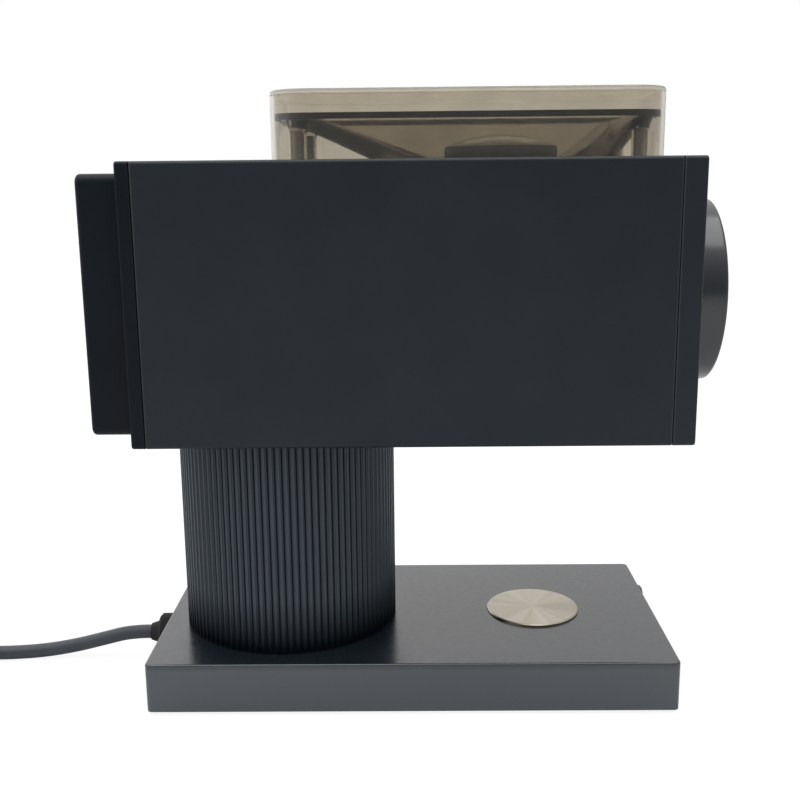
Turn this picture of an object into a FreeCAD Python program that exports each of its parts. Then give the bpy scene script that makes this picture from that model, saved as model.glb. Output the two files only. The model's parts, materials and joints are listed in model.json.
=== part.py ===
"""Electric flat-burr coffee grinder: motor body on a fluted column and a weighted base.

Millimetres, +Z up, +X towards the dial, origin under the middle of the object on the table.
The motor axis runs along X. The dial turns a nut that pushes the thrust spindle, and so the
shaft with the rotating burr, back towards the fixed burr; a spring pushes the shaft forward.
"""
import FreeCAD
import Part
import math
import os
import Sketcher

V = FreeCAD.Vector

# Driving dimensions
DIMENSIONS = {
    # base
    "foot_gap": 1.5,
    "foot_radius": 8.0,
    "foot_inset": 24.0,
    "base_length": 210.0,
    "base_width": 107.6,
    "base_height": 20.0,
    "base_tail": 0.5,
    "base_corner": 2.2,
    "base_edge": 0.8,
    "base_wall": 8.0,
    "base_roof": 6.0,
    "cavity_corner": 14.0,
    "cover_margin": 3.0,
    "cover_thick": 2.4,
    "cover_clear": 0.3,
    "cover_screw_inset": 11.0,
    "disc_radius": 19.8,
    "disc_thick": 3.0,
    "disc_proud": 1.0,
    "disc_clear": 0.1,
    "disc_bevel": 0.4,
    "magnet_radius": 12.0,
    "magnet_thick": 5.0,
    # power button, switch and control board
    "button_radius": 6.0,
    "button_inset": 18.8,
    "button_proud": 3.4,
    "button_crown": 0.8,
    "button_clear": 0.3,
    "button_travel": 2.0,
    "button_flange": 2.0,
    "button_shoulder": 1.0,
    "button_lip": 3.0,
    "switch_gap": 6.0,
    "switch_length": 16.0,
    "switch_width": 14.0,
    "stem_radius": 2.0,
    "stem_entry": 1.5,
    "board_length": 84.0,
    "board_margin": 18.8,
    "board_thick": 1.6,
    "board_lift": 2.0,
    "board_post_inset": 5.0,
    "relay_length": 16.0,
    "relay_width": 14.0,
    "relay_height": 6.0,
    "supply_length": 24.0,
    "supply_width": 17.5,
    "terminal_side": 12.0,
    # column
    "column_radius": 45.1,
    "column_height": 86.8,
    "column_wall": 3.0,
    "column_setback": 52.3,
    "flute_count": 100,
    "flute_radius": 0.95,
    "flute_depth": 0.8,
    "tie_offset": 24.0,
    "tie_radius": 2.5,
    "tie_head_radius": 4.5,
    "tie_head_height": 4.0,
    "tie_grip": 7.0,
    "hole_clear": 0.3,
    "capacitor_radius": 17.0,
    "capacitor_height": 60.0,
    "capacitor_bevel": 2.0,
    "terminal_height": 6.0,
    "stud_radius": 4.0,
    "loom_radius": 3.0,
    "loom_offset": 36.0,
    # body
    "body_width": 106.3,
    "body_height": 105.6,
    "body_wall": 3.0,
    "body_corner": 1.5,
    "shell_length": 196.3,
    "screw_block": 9.8,
    "screw_side": 6.8,
    "seam_gap": 0.5,
    "seam_depth": 1.0,
    "front_plate_thick": 8.9,
    "rear_bezel_thick": 5.6,
    "bezel_edge": 0.8,
    "rear_cover_depth": 15.8,
    "rear_cover_inset": 4.2,
    "rear_cover_corner": 3.5,
    "rear_cover_edge": 1.6,
    "rear_cover_wall": 2.5,
    "cover_post_radius": 4.0,
    "vent_count": 7,
    "vent_pitch": 9.0,
    "vent_width": 3.0,
    "vent_length": 56.0,
    # small screws
    "screw_radius": 1.5,
    "screw_head_radius": 2.75,
    "screw_head_height": 1.4,
    "screw_grip": 7.0,
    # motor
    "motor_room": 3.6,
    "stator_step": 4.0,
    "bore_share": 0.55,
    "stator_slot_count": 18,
    "stator_slot_depth": 11.0,
    "stator_slot_width": 4.0,
    "air_gap": 0.6,
    "winding_inset": 5.0,
    "winding_step": 2.8,
    "winding_overhang": 8.0,
    "bell_rim": 7.0,
    "bell_wall": 6.0,
    "bell_clear": 0.4,
    "front_bell_depth": 18.0,
    "rear_bell_depth": 24.0,
    "bush_radius": 7.0,
    "bush_length": 11.0,
    "hub_wall": 4.0,
    "running_clear": 0.05,
    "shaft_radius": 5.0,
    "rotor_ring": 3.0,
    "rotor_step": 2.0,
    "bolt_radius": 1.6,
    "bolt_inset": 2.1,
    "bolt_head_radius": 2.8,
    "bolt_head_height": 2.4,
    "cradle_margin": 17.15,
    "cradle_bite": 11.1,
    "cradle_reach": 12.0,
    "fan_space": 9.0,
    "fan_inset": 10.0,
    "fan_gap": 2.5,
    "fan_hub_radius": 9.0,
    "fan_disc": 1.5,
    "fan_blade": 7.0,
    "fan_blade_thick": 1.6,
    "fan_blade_count": 9,
    "spring_radius": 8.0,
    "spring_wire": 0.8,
    "spring_turns": 4,
    # grinding head
    "outlet_setback": 53.3,
    "outlet_length": 16.0,
    "outlet_width": 24.0,
    "outlet_wall": 2.5,
    "chamber_bore": 36.5,
    "chamber_wall": 3.5,
    "chamber_back": 4.0,
    "head_flange": 6.0,
    "head_room": 1.3,
    "flange_trim": 1.0,
    "head_seat": 5.0,
    "seat_step": 4.2,
    "head_seat_corner": 10.0,
    "seat_screw_inset": 6.3,
    "feed_length": 37.0,
    "feed_bore": 17.5,
    "feed_wall": 4.5,
    "feed_back": 4.0,
    "shaft_gap": 1.0,
    "inlet_setback": 11.5,
    "inlet_radius": 11.0,
    "inlet_wall": 3.0,
    "inlet_gap": 0.2,
    "auger_radius": 17.0,
    "auger_hub_radius": 8.0,
    "auger_pitch": 20.0,
    "auger_flight": 2.5,
    "auger_clear": 2.0,
    "burr_radius": 32.0,
    "burr_bore": 19.5,
    "burr_thick": 7.0,
    "burr_gap": 1.5,
    "burr_tooth_count": 24,
    "burr_tooth_depth": 2.6,
    "burr_land_depth": 0.4,
    "burr_land_width": 6.7,
    "burr_tooth_width": 4.2,
    "burr_tooth_lean": 5.0,
    "burr_screw_circle": 27.0,
    "burr_screw_grip": 4.0,
    "carrier_radius": 33.0,
    "carrier_thick": 6.0,
    "carrier_hub_radius": 11.0,
    "carrier_hub": 5.5,
    "wiper_clear": 0.3,
    "wiper_reach": 2.0,
    "wiper_thick": 3.0,
    "nut_across": 7.5,
    "nut_thick": 5.0,
    "chute_wall": 2.0,
    "chute_flange": 5.0,
    "chute_flange_thick": 2.0,
    "chute_drop": 8.0,
    # adjuster and dial
    "lid_gap": 3.0,
    "lid_thick": 4.0,
    "lid_clear": 0.3,
    "adjuster_hub_radius": 19.0,
    "adjuster_flange": 5.0,
    "adjuster_flange_radius": 30.0,
    "adjuster_screw_circle": 24.0,
    "nut_bay_radius": 14.0,
    "shaft_nose": 3.0,
    "ball_radius": 4.0,
    "spindle_radius": 6.0,
    "spindle_bush": 7.0,
    "spindle_length": 30.0,
    "drive_nut_radius": 9.0,
    "drive_nut_reach": 4.0,
    "ring_radius": 11.0,
    "ring_thick": 1.2,
    "ring_bay": 5.5,
    "dial_radius": 36.8,
    "dial_stand": 14.3,
    "dial_gap": 0.6,
    "dial_face_thick": 3.5,
    "dial_rim": 4.0,
    "dial_edge": 1.2,
    "dial_boss_radius": 14.0,
    "dial_face_radius": 29.0,
    "dial_inlay": 1.0,
    # hopper
    "hopper_length": 150.4,
    "hopper_width": 66.0,
    "hopper_setback": 8.4,
    "hopper_height": 25.8,
    "hopper_corner": 15.0,
    "hopper_wall": 1.5,
    "hopper_edge": 1.2,
    "seal_clear": 0.25,
    "seal_width": 2.0,
    "seal_thick": 2.2,
    "rim_height": 15.0,
    "rim_border": 2.0,
    "funnel_wall": 1.8,
    "funnel_floor_length": 57.0,
    "funnel_floor_width": 48.0,
    "funnel_floor_corner": 22.0,
    "funnel_floor_setback": 36.0,
    "mouth_clear": 1.5,
    "post_radius": 3.0,
    "post_flare": 1.8,
    "post_flare_height": 5.0,
    "post_grip": 11.0,
    "post_side": 23.0,
    "post_front": 10.3,
    "post_rear": 11.0,
    "collar_radius": 22.4,
    "collar_wall": 2.0,
    "collar_height": 14.7,
    "collar_shift": 7.5,
    "collar_window": 9.0,
    "guard_rise": 4.6,
    "guard_thick": 1.6,
    # roots and cutting tools that run past a face
    "overlap": 1.0,
    # cord
    "cord_radius": 3.0,
    "gland_inner": 4.0,
    "gland_sleeve": 0.7,
    "gland_barrel_radius": 5.0,
    "gland_flange_radius": 8.0,
    "gland_flange": 6.0,
    "gland_bevel": 1.0,
    "gland_length": 4.0,
    "gland_tip_radius": 3.7,
    "coil_radius": 42.0,
    "coil_turns": 2,
    "coil_gap": 0.6,
    "coil_lift": 1.6,
    "tail_length": 30.0,
    "tie_strap": 1.0,
    "tie_strap_width": 8.0,
    "tie_strap_clear": 0.5,
    "plug_radius": 18.5,
    "plug_body": 28.0,
    "plug_neck": 16.0,
    "plug_neck_radius": 6.0,
    "plug_bevel": 2.0,
    "pin_radius": 2.4,
    "pin_length": 19.0,
    "pin_spacing": 19.0,
}

doc = FreeCAD.newDocument("coffee_grinder")
sheet = doc.addObject("Spreadsheet::Sheet", "dims")
for row, (alias, number) in enumerate(DIMENSIONS.items(), start=1):
    sheet.set(f"A{row}", alias)
    sheet.set(f"B{row}", str(number))
    sheet.setAlias(f"B{row}", alias)
doc.recompute()


class Size:
    """A size that carries its sheet expression and its present value together."""

    def __init__(self, text, value):
        self.text = text
        self.value = value

    def __add__(self, other):
        other = as_size(other)
        return Size(f"({self.text} + {other.text})", self.value + other.value)

    def __sub__(self, other):
        other = as_size(other)
        return Size(f"({self.text} - {other.text})", self.value - other.value)

    def __mul__(self, other):
        other = as_size(other)
        return Size(f"({self.text} * {other.text})", self.value * other.value)

    def __truediv__(self, other):
        other = as_size(other)
        return Size(f"({self.text} / {other.text})", self.value / other.value)

    def __neg__(self):
        return Size(f"(-1 * {self.text})", -self.value)


def as_size(number):
    """Turn a plain number into a Size; a Size stays as it is."""
    if isinstance(number, Size):
        return number
    return Size(f"({float(number)})", float(number))


def least(a, b):
    """The smaller of two sizes."""
    return Size(f"min({a.text}; {b.text})", min(a.value, b.value))


class Dims:
    """The driving dimensions as attributes, each bound to its cell."""


d = Dims()
for alias, number in DIMENSIONS.items():
    setattr(d, alias, Size(f"dims.{alias}", float(number)))

ZERO = as_size(0)
AXIS_X = FreeCAD.Rotation(V(0, 1, 0), 90)
AXIS_X_BACK = FreeCAD.Rotation(V(0, 1, 0), -90)
HALF_TURN = FreeCAD.Rotation(V(0, 0, 1), 180)
AXIS_Z = FreeCAD.Rotation()

BOLT_ANGLES = (30, 150, 210, 330)
BURR_SCREW_ANGLES = (30, 150, 270)
ADJUSTER_SCREW_ANGLES = (45, 135, 225, 315)

nodes = {}


def keep(label, obj):
    """Name an object as a finished sub-part."""
    obj.Label = label
    nodes[label] = obj
    return obj


# Sketches and PartDesign features
def new_body(label):
    return keep(label, doc.addObject("PartDesign::Body", label))


def place(obj, x=ZERO, y=ZERO, z=ZERO, turn=AXIS_Z):
    """Set the turn of an object and bind its place to sizes."""
    obj.Placement = FreeCAD.Placement(V(), turn)
    for axis, amount in zip("xyz", (x, y, z)):
        obj.setExpression(f"Placement.Base.{axis}", as_size(amount).text)


def origin_feature(body, role):
    return next(f for f in body.Origin.OriginFeatures if f.Role == role)


def sketch(body, plane, lift=None):
    """A sketch on one of the body's own origin planes, raised along the plane's normal."""
    sk = body.newObject("Sketcher::SketchObject", f"{body.Label}_sketch")
    sk.AttachmentSupport = (origin_feature(body, plane), [""])
    sk.MapMode = "FlatFace"
    if lift is not None:
        sk.setExpression("AttachmentOffset.Base.z", as_size(lift).text)
    return sk


def pin_point(sk, geometry, end, u, v):
    """Hold one point of a sketch at a bound distance from the sketch's origin."""
    for kind, amount in (("DistanceX", as_size(u)), ("DistanceY", as_size(v))):
        index = sk.addConstraint(Sketcher.Constraint(kind, -1, 1, geometry, end, amount.value))
        sk.setExpression(f"Constraints[{index}]", amount.text)


def polygon(sk, points):
    """A closed outline of straight lines through bound points."""
    points = [(as_size(u), as_size(v)) for u, v in points]
    first = sk.GeometryCount
    count = len(points)
    for index, (u, v) in enumerate(points):
        u_next, v_next = points[(index + 1) % count]
        start = V(u.value, v.value, 0)
        end = V(u_next.value, v_next.value, 0)
        sk.addGeometry(Part.LineSegment(start, end), False)
    for index, (u, v) in enumerate(points):
        following = first + (index + 1) % count
        sk.addConstraint(Sketcher.Constraint("Coincident", first + index, 2, following, 1))
        pin_point(sk, first + index, 1, u, v)


def rectangle(sk, u, v, width, height):
    """A rectangle about a centre."""
    u, v, width, height = (as_size(q) for q in (u, v, width, height))
    left, right = u - width / 2, u + width / 2
    low, high = v - height / 2, v + height / 2
    polygon(sk, [(left, low), (right, low), (right, high), (left, high)])


def circle(sk, u, v, radius):
    u, v, radius = as_size(u), as_size(v), as_size(radius)
    index = sk.addGeometry(Part.Circle(V(u.value, v.value, 0), V(0, 0, 1), radius.value), False)
    pin_point(sk, index, 3, u, v)
    bound = sk.addConstraint(Sketcher.Constraint("Radius", index, radius.value))
    sk.setExpression(f"Constraints[{bound}]", radius.text)


def rounded_rectangle(sk, u, v, width, height, radius):
    """A rectangle with round corners, as four lines and four tangent arcs."""
    u, v, width, height, radius = (as_size(q) for q in (u, v, width, height, radius))
    first = sk.GeometryCount
    left, right = u - width / 2, u + width / 2
    low, high = v - height / 2, v + height / 2
    corners = [
        (right - radius, low + radius, -90),
        (right - radius, high - radius, 0),
        (left + radius, high - radius, 90),
        (left + radius, low + radius, 180),
    ]
    lines = [
        ((left + radius, low), (right - radius, low)),
        ((right, low + radius), (right, high - radius)),
        ((right - radius, high), (left + radius, high)),
        ((left, high - radius), (left, low + radius)),
    ]
    for (start, end), (cu, cv, angle) in zip(lines, corners):
        sk.addGeometry(Part.LineSegment(V(start[0].value, start[1].value, 0),
                                        V(end[0].value, end[1].value, 0)), False)
        ring = Part.Circle(V(cu.value, cv.value, 0), V(0, 0, 1), radius.value)
        sk.addGeometry(Part.ArcOfCircle(ring, math.radians(angle), math.radians(angle + 90)), False)
    for side in range(4):
        line = first + 2 * side
        arc = line + 1
        following = first + (2 * side + 2) % 8
        sk.addConstraint(Sketcher.Constraint("Tangent", line, 2, arc, 1))
        sk.addConstraint(Sketcher.Constraint("Tangent", arc, 2, following, 1))
        sk.addConstraint(Sketcher.Constraint("Vertical" if side % 2 else "Horizontal", line))
    for side in range(1, 4):
        sk.addConstraint(Sketcher.Constraint("Equal", first + 1, first + 2 * side + 1))
    bound = sk.addConstraint(Sketcher.Constraint("Radius", first + 1, radius.value))
    sk.setExpression(f"Constraints[{bound}]", radius.text)
    for kind, line, amount in (("DistanceY", 0, low), ("DistanceX", 2, right),
                               ("DistanceY", 4, high), ("DistanceX", 6, left)):
        bound = sk.addConstraint(Sketcher.Constraint(kind, -1, 1, first + line, 1, amount.value))
        sk.setExpression(f"Constraints[{bound}]", amount.text)


def pad(body, sk, length, back=False, both=False):
    feature = body.newObject("PartDesign::Pad", f"{body.Label}_pad")
    feature.Profile = sk
    feature.setExpression("Length", as_size(length).text)
    feature.Reversed = back
    feature.SideType = "Symmetric" if both else "One side"
    return feature


def pocket(body, sk, length, back=False, both=False):
    """Cut against the sketch plane's normal, or along it when back is set."""
    doc.recompute()
    before = body.Shape.Volume
    feature = body.newObject("PartDesign::Pocket", f"{body.Label}_pocket")
    feature.Profile = sk
    feature.setExpression("Length", as_size(length).text)
    feature.Reversed = back
    feature.SideType = "Symmetric" if both else "One side"
    check_cut(body, before)
    return feature


def check_cut(body, before):
    doc.recompute()
    if body.Shape.Volume > before - 1e-3:
        raise RuntimeError(f"a cut in {body.Label} removes nothing")


def revolve(body, sk, axis="H_Axis"):
    feature = body.newObject("PartDesign::Revolution", f"{body.Label}_turned")
    feature.Profile = sk
    feature.ReferenceAxis = (sk, [axis])
    feature.Angle = 360
    return feature


def groove(body, sk, axis="H_Axis"):
    doc.recompute()
    before = body.Shape.Volume
    feature = body.newObject("PartDesign::Groove", f"{body.Label}_groove")
    feature.Profile = sk
    feature.ReferenceAxis = (sk, [axis])
    feature.Angle = 360
    check_cut(body, before)
    return feature


def loft(body, start, end, cut=False):
    kind = "SubtractiveLoft" if cut else "AdditiveLoft"
    feature = body.newObject(f"PartDesign::{kind}", f"{body.Label}_loft")
    feature.Profile = start
    feature.Sections = [end]
    feature.Ruled = True
    return feature


def polar(body, feature, count, axis="X_Axis"):
    pattern = body.newObject("PartDesign::PolarPattern", f"{body.Label}_polar")
    pattern.Originals = [feature]
    pattern.Axis = (origin_feature(body, axis), [""])
    pattern.Angle = 360
    pattern.setExpression("Occurrences", as_size(count).text)
    body.Tip = pattern
    return pattern


def linear(body, feature, count, length, axis):
    pattern = body.newObject("PartDesign::LinearPattern", f"{body.Label}_row")
    pattern.Originals = [feature]
    pattern.Direction = (origin_feature(body, axis), [""])
    pattern.setExpression("Length", as_size(length).text)
    pattern.setExpression("Occurrences", as_size(count).text)
    body.Tip = pattern
    return pattern


def round_edges(body, radius, wanted):
    """Fillet the edges of the body's tip that the test picks by their middle point."""
    doc.recompute()
    tip = body.Tip
    names = []
    for index, edge in enumerate(tip.Shape.Edges, start=1):
        middle = edge.valueAt((edge.FirstParameter + edge.LastParameter) / 2)
        if wanted(middle):
            names.append(f"Edge{index}")
    feature = body.newObject("PartDesign::Fillet", f"{body.Label}_fillet")
    feature.Base = (tip, names)
    feature.setExpression("Radius", as_size(radius).text)
    return feature


def turned(label, profile, x=ZERO, y=ZERO, z=ZERO, turn=AXIS_Z):
    """A piece turned about the X axis of its own body from (along, radius) points."""
    body = new_body(label)
    sk = sketch(body, "XZ_Plane")
    polygon(sk, profile)
    revolve(body, sk)
    place(body, x, y, z, turn)
    return body


def standing(label, profile, x=ZERO, y=ZERO, z=ZERO):
    """A piece turned about the Z axis of its own body from (radius, height) points."""
    body = new_body(label)
    sk = sketch(body, "XZ_Plane")
    polygon(sk, profile)
    revolve(body, sk, "V_Axis")
    place(body, x, y, z)
    return body


# Part primitives and groups
def cylinder(radius, height, at, turn=AXIS_Z):
    obj = doc.addObject("Part::Cylinder", "round_bar")
    obj.setExpression("Radius", as_size(radius).text)
    obj.setExpression("Height", as_size(height).text)
    place(obj, *at, turn=turn)
    return obj


def block(length, width, height, at):
    obj = doc.addObject("Part::Box", "block")
    for name, amount in (("Length", length), ("Width", width), ("Height", height)):
        obj.setExpression(name, as_size(amount).text)
    place(obj, *at)
    return obj


def cut(base, tool):
    obj = doc.addObject("Part::Cut", "cut")
    obj.Base = base
    obj.Tool = tool
    return obj


def fuse(shapes):
    obj = doc.addObject("Part::MultiFuse", "fused")
    obj.Shapes = shapes
    return obj


def group(label, members):
    """Separate solids that share one node."""
    obj = doc.addObject("Part::Compound", label)
    obj.Links = members
    return keep(label, obj)


def screw(at, turn, shank_radius, shank, head_radius, head):
    """A plain screw: the head seats at the given point and the shank runs along the turn."""
    x, y, z = at
    step = turn.multVec(V(0, 0, 1))
    head_at = [q - as_size(head) * round(c) for q, c in zip(at, (step.x, step.y, step.z))]
    return fuse([cylinder(head_radius, head, head_at, turn),
                 cylinder(shank_radius, shank, (x, y, z), turn)])


def screws(label, spots, turn, shank_radius, shank, head_radius, head):
    members = [screw(at, turn, shank_radius, shank, head_radius, head) for at in spots]
    return group(label, members)


def four(u, v):
    """The four corners of a rectangle with these half sides."""
    return [(u, v), (-u, v), (-u, -v), (u, -v)]


def on_circle(radius, angles):
    """Points on a circle at fixed angles in degrees."""
    return [(radius * round(math.cos(math.radians(a)), 6), radius * round(math.sin(math.radians(a)), 6))
            for a in angles]


# Stations along X, rear to front
overall = d.rear_cover_depth + d.rear_bezel_thick + d.shell_length + d.front_plate_thick + d.dial_stand
x_rear = -overall / 2
x_bezel = x_rear + d.rear_cover_depth
x_shell = x_bezel + d.rear_bezel_thick
x_plate = x_shell + d.shell_length
x_front = x_plate + d.front_plate_thick
x_dial = x_front + d.dial_stand
x_base_rear = x_bezel - d.base_tail
x_base = x_base_rear + d.base_length / 2
x_base_front = x_base_rear + d.base_length
x_column = x_bezel + d.column_setback
x_outlet = x_front - d.outlet_setback
x_floor = x_outlet - d.outlet_length / 2
x_back = x_floor - d.chamber_back
x_feed = x_back - d.feed_length
x_motor = x_feed - d.head_flange
x_stator_front = x_motor - d.front_bell_depth
x_motor_rear = x_shell + d.fan_space
x_stator_rear = x_motor_rear + d.rear_bell_depth
stator_length = x_stator_front - x_stator_rear
x_inlet = x_feed + d.feed_length - d.inlet_setback
x_burr = x_floor + d.burr_thick + d.burr_gap
x_carrier = x_burr + d.burr_thick
x_nut = x_carrier + d.carrier_thick
x_shaft_end = x_nut + d.nut_thick + d.shaft_nose
x_spindle = x_shaft_end + d.ball_radius
x_lid = x_nut + d.lid_gap
x_hopper_front = x_front - d.hopper_setback
x_hopper = x_hopper_front - d.hopper_length / 2
x_hopper_rear = x_hopper_front - d.hopper_length

# Levels along Z, table to hopper top
z_base = d.foot_gap
z_base_top = z_base + d.base_height
z_roof = z_base_top - d.base_roof
z_cord = z_base + d.base_height / 2
z_body = z_base_top + d.column_height
z_body_floor = z_body + d.body_wall
z_body_top = z_body + d.body_height
z_shaft = z_body + d.body_height / 2
z_rim = z_body_top + d.rim_height
z_funnel_base = z_shaft + d.chamber_bore + d.chamber_wall + d.head_room
z_funnel_floor = z_funnel_base + d.funnel_wall

# Places across the base
y_button = d.base_width / 2 - d.button_inset
board_width = d.base_width - d.board_margin * 2

# Motor radii and chamber seat, from the room inside the body
bell_radius = least(d.body_width, d.body_height) / 2 - d.body_wall - d.motor_room
stator_radius = bell_radius - d.stator_step
stator_bore = stator_radius * d.bore_share
winding_outer = stator_radius - d.winding_inset
winding_inner = stator_bore + d.winding_step
bolt_circle = bell_radius - d.bolt_inset
fan_radius = bell_radius - d.fan_inset
seat_half = bell_radius - d.seat_step
seat_screw = seat_half - d.seat_screw_inset

tie_spots = [(x_column + u, v) for u, v in four(d.tie_offset, d.tie_offset)]


def build_base():
    """Base casting, its cover, feet, steel cup disc and magnet."""
    base = new_body("base_casting")
    outline = sketch(base, "XY_Plane")
    rounded_rectangle(outline, 0, 0, d.base_length, d.base_width, d.base_corner)
    pad(base, outline, d.base_height)
    top = d.base_height.value
    round_edges(base, d.base_edge, lambda p: abs(p.z - top) < 1e-6)
    recess = sketch(base, "XY_Plane")
    recess_length = d.base_length - d.cover_margin * 2
    recess_width = d.base_width - d.cover_margin * 2
    rounded_rectangle(recess, 0, 0, recess_length, recess_width, d.base_corner)
    pocket(base, recess, d.cover_thick, back=True)
    cavity = sketch(base, "XY_Plane")
    rounded_rectangle(cavity, 0, 0, d.base_length - d.base_wall * 2, d.base_width - d.base_wall * 2,
                      d.cavity_corner)
    pocket(base, cavity, d.base_height - d.base_roof, back=True)
    screw_spots = four(d.base_length / 2 - d.cover_screw_inset, d.base_width / 2 - d.cover_screw_inset)
    threads = sketch(base, "XY_Plane")
    for u, v in screw_spots:
        circle(threads, u, v, d.screw_radius)
    pocket(base, threads, d.screw_grip + d.cover_thick, back=True)
    passages = sketch(base, "XY_Plane")
    for x, y in tie_spots:
        circle(passages, x - x_base, y, d.tie_radius + d.hole_clear)
    circle(passages, x_column - x_base, 0, d.stud_radius + d.hole_clear)
    circle(passages, x_column + d.loom_offset - x_base, 0, d.loom_radius + d.hole_clear)
    pocket(base, passages, d.base_height, back=True)
    seat = sketch(base, "XY_Plane", d.base_height)
    circle(seat, x_outlet - x_base, 0, d.disc_radius + d.disc_clear)
    pocket(base, seat, d.disc_thick - d.disc_proud)
    button_hole = sketch(base, "YZ_Plane", d.base_length / 2)
    circle(button_hole, y_button, d.base_height / 2, d.button_radius + d.button_clear)
    pocket(base, button_hole, d.base_wall)
    button_well = sketch(base, "YZ_Plane", d.base_length / 2 - d.button_lip)
    circle(button_well, y_button, d.base_height / 2,
           d.button_radius + d.button_shoulder + d.button_clear)
    pocket(base, button_well, d.base_wall - d.button_lip + d.button_travel)
    cord_hole = sketch(base, "YZ_Plane", -d.base_length / 2)
    circle(cord_hole, 0, d.base_height / 2, d.gland_barrel_radius)
    pocket(base, cord_hole, d.base_wall, back=True)
    place(base, x_base, 0, z_base)

    cover = new_body("base_cover")
    sheet_outline = sketch(cover, "XY_Plane")
    rounded_rectangle(sheet_outline, 0, 0, recess_length - d.cover_clear * 2,
                      recess_width - d.cover_clear * 2, d.base_corner - d.cover_clear)
    pad(cover, sheet_outline, d.cover_thick)
    posts = sketch(cover, "XY_Plane", d.cover_thick)
    for u, v in four(d.board_length / 2 - d.board_post_inset, board_width / 2 - d.board_post_inset):
        circle(posts, x_column - x_base + u, v, d.screw_radius * 2)
    pad(cover, posts, d.board_lift)
    heads = sketch(cover, "XY_Plane")
    for u, v in screw_spots:
        circle(heads, u, v, d.screw_head_radius + d.hole_clear)
    pocket(cover, heads, d.screw_head_height, back=True)
    holes = sketch(cover, "XY_Plane")
    for u, v in screw_spots:
        circle(holes, u, v, d.screw_radius + d.hole_clear)
    pocket(cover, holes, d.cover_thick, back=True)
    place(cover, x_base, 0, z_base)
    spots = [(x_base + u, v, z_base + d.screw_head_height) for u, v in screw_spots]
    screws("base_cover_screws", spots, AXIS_Z, d.screw_radius,
           d.screw_grip + d.cover_thick - d.screw_head_height, d.screw_head_radius, d.screw_head_height)

    foot_spots = four(d.base_length / 2 - d.foot_inset, d.base_width / 2 - d.foot_inset)
    group("rubber_feet", [cylinder(d.foot_radius, d.foot_gap, (x_base + u, v, ZERO))
                          for u, v in foot_spots])
    rim = d.disc_radius - d.disc_bevel
    standing("cup_disc", [(0, 0), (d.disc_radius, 0), (d.disc_radius, d.disc_thick - d.disc_bevel),
                          (rim, d.disc_thick), (0, d.disc_thick)],
             x_outlet, 0, z_base_top + d.disc_proud - d.disc_thick)
    keep("cup_magnet", cylinder(d.magnet_radius, d.magnet_thick,
                                (x_outlet, ZERO, z_roof - d.magnet_thick)))


def build_controls():
    """Push button, its switch, and the control board on the base cover."""
    x_switch = x_base_front - d.base_wall - d.switch_gap
    x_stem = x_switch - d.stem_entry
    flange_end = x_base_front - d.button_lip - d.button_clear - x_stem
    start = flange_end - d.button_flange
    face = x_base_front + d.button_proud - x_stem
    flange_radius = d.button_radius + d.button_shoulder
    turned("power_button", [
        (0, 0), (0, d.stem_radius), (start, d.stem_radius), (start, flange_radius),
        (flange_end, flange_radius), (flange_end, d.button_radius),
        (face - d.button_crown, d.button_radius), (face, d.button_radius - d.button_crown), (face, 0)],
        x_stem, y_button, z_cord)
    switch = new_body("power_switch")
    case = sketch(switch, "YZ_Plane")
    height = z_roof - z_base - d.cover_thick
    rectangle(case, 0, z_base + d.cover_thick + height / 2 - z_cord, d.switch_width, height)
    pad(switch, case, d.switch_length)
    entry = sketch(switch, "YZ_Plane", d.switch_length)
    circle(entry, 0, 0, d.stem_radius + d.button_clear)
    pocket(switch, entry, d.stem_entry + d.button_travel * 2)
    place(switch, x_switch - d.switch_length, y_button, z_cord)

    z_board = z_base + d.cover_thick + d.board_lift
    z_parts = z_board + d.board_thick
    x_board = x_column - d.board_length / 2
    board = block(d.board_length, board_width, d.board_thick, (x_board, -board_width / 2, z_board))
    relay = block(d.relay_length, d.relay_width, d.relay_height,
                  (x_column - d.relay_length, -d.relay_width, z_parts))
    supply = block(d.supply_length, d.supply_width, d.relay_height,
                   (x_board + d.board_post_inset, ZERO, z_parts))
    terminal = block(d.terminal_side, d.terminal_side, d.relay_height,
                     (x_column + d.loom_offset - d.terminal_side / 2, -d.terminal_side / 2, z_parts))
    keep("control_board", fuse([board, relay, supply, terminal]))
    z_terminal = z_parts + d.relay_height
    z_bell = z_shaft - bell_radius
    keep("wiring_loom", cylinder(d.loom_radius, z_bell - z_terminal,
                                 (x_column + d.loom_offset, ZERO, z_terminal)))


def build_column():
    """Fluted column, the rods that tie base, column and body together, and the capacitor."""
    column = new_body("column_sleeve")
    tube = sketch(column, "XY_Plane")
    circle(tube, 0, 0, d.column_radius)
    circle(tube, 0, 0, d.column_radius - d.column_wall)
    pad(column, tube, d.column_height)
    flute_outline = sketch(column, "XY_Plane")
    circle(flute_outline, d.column_radius + d.flute_radius - d.flute_depth, 0, d.flute_radius)
    flute = pocket(column, flute_outline, d.column_height, back=True)
    polar(column, flute, d.flute_count, "Z_Axis")
    place(column, x_column, 0, z_base_top)

    rod = d.base_roof + d.column_height + d.body_wall + d.tie_grip
    screws("tie_rods", [(x, y, z_roof) for x, y in tie_spots], AXIS_Z, d.tie_radius, rod,
           d.tie_head_radius, d.tie_head_height)
    standing("run_capacitor", [
        (0, -d.base_roof), (d.stud_radius, -d.base_roof), (d.stud_radius, 0), (d.capacitor_radius, 0),
        (d.capacitor_radius, d.capacitor_height - d.capacitor_bevel),
        (d.capacitor_radius - d.capacitor_bevel, d.capacitor_height),
        (d.stud_radius, d.capacitor_height), (d.stud_radius, d.capacitor_height + d.terminal_height),
        (0, d.capacitor_height + d.terminal_height)], x_column, 0, z_base_top)


def cover_screw_spots():
    """Screw places at the inner corners of the shell, measured from the motor axis."""
    return four(d.body_width / 2 - d.body_wall - d.screw_side,
                d.body_height / 2 - d.body_wall - d.screw_side)


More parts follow.
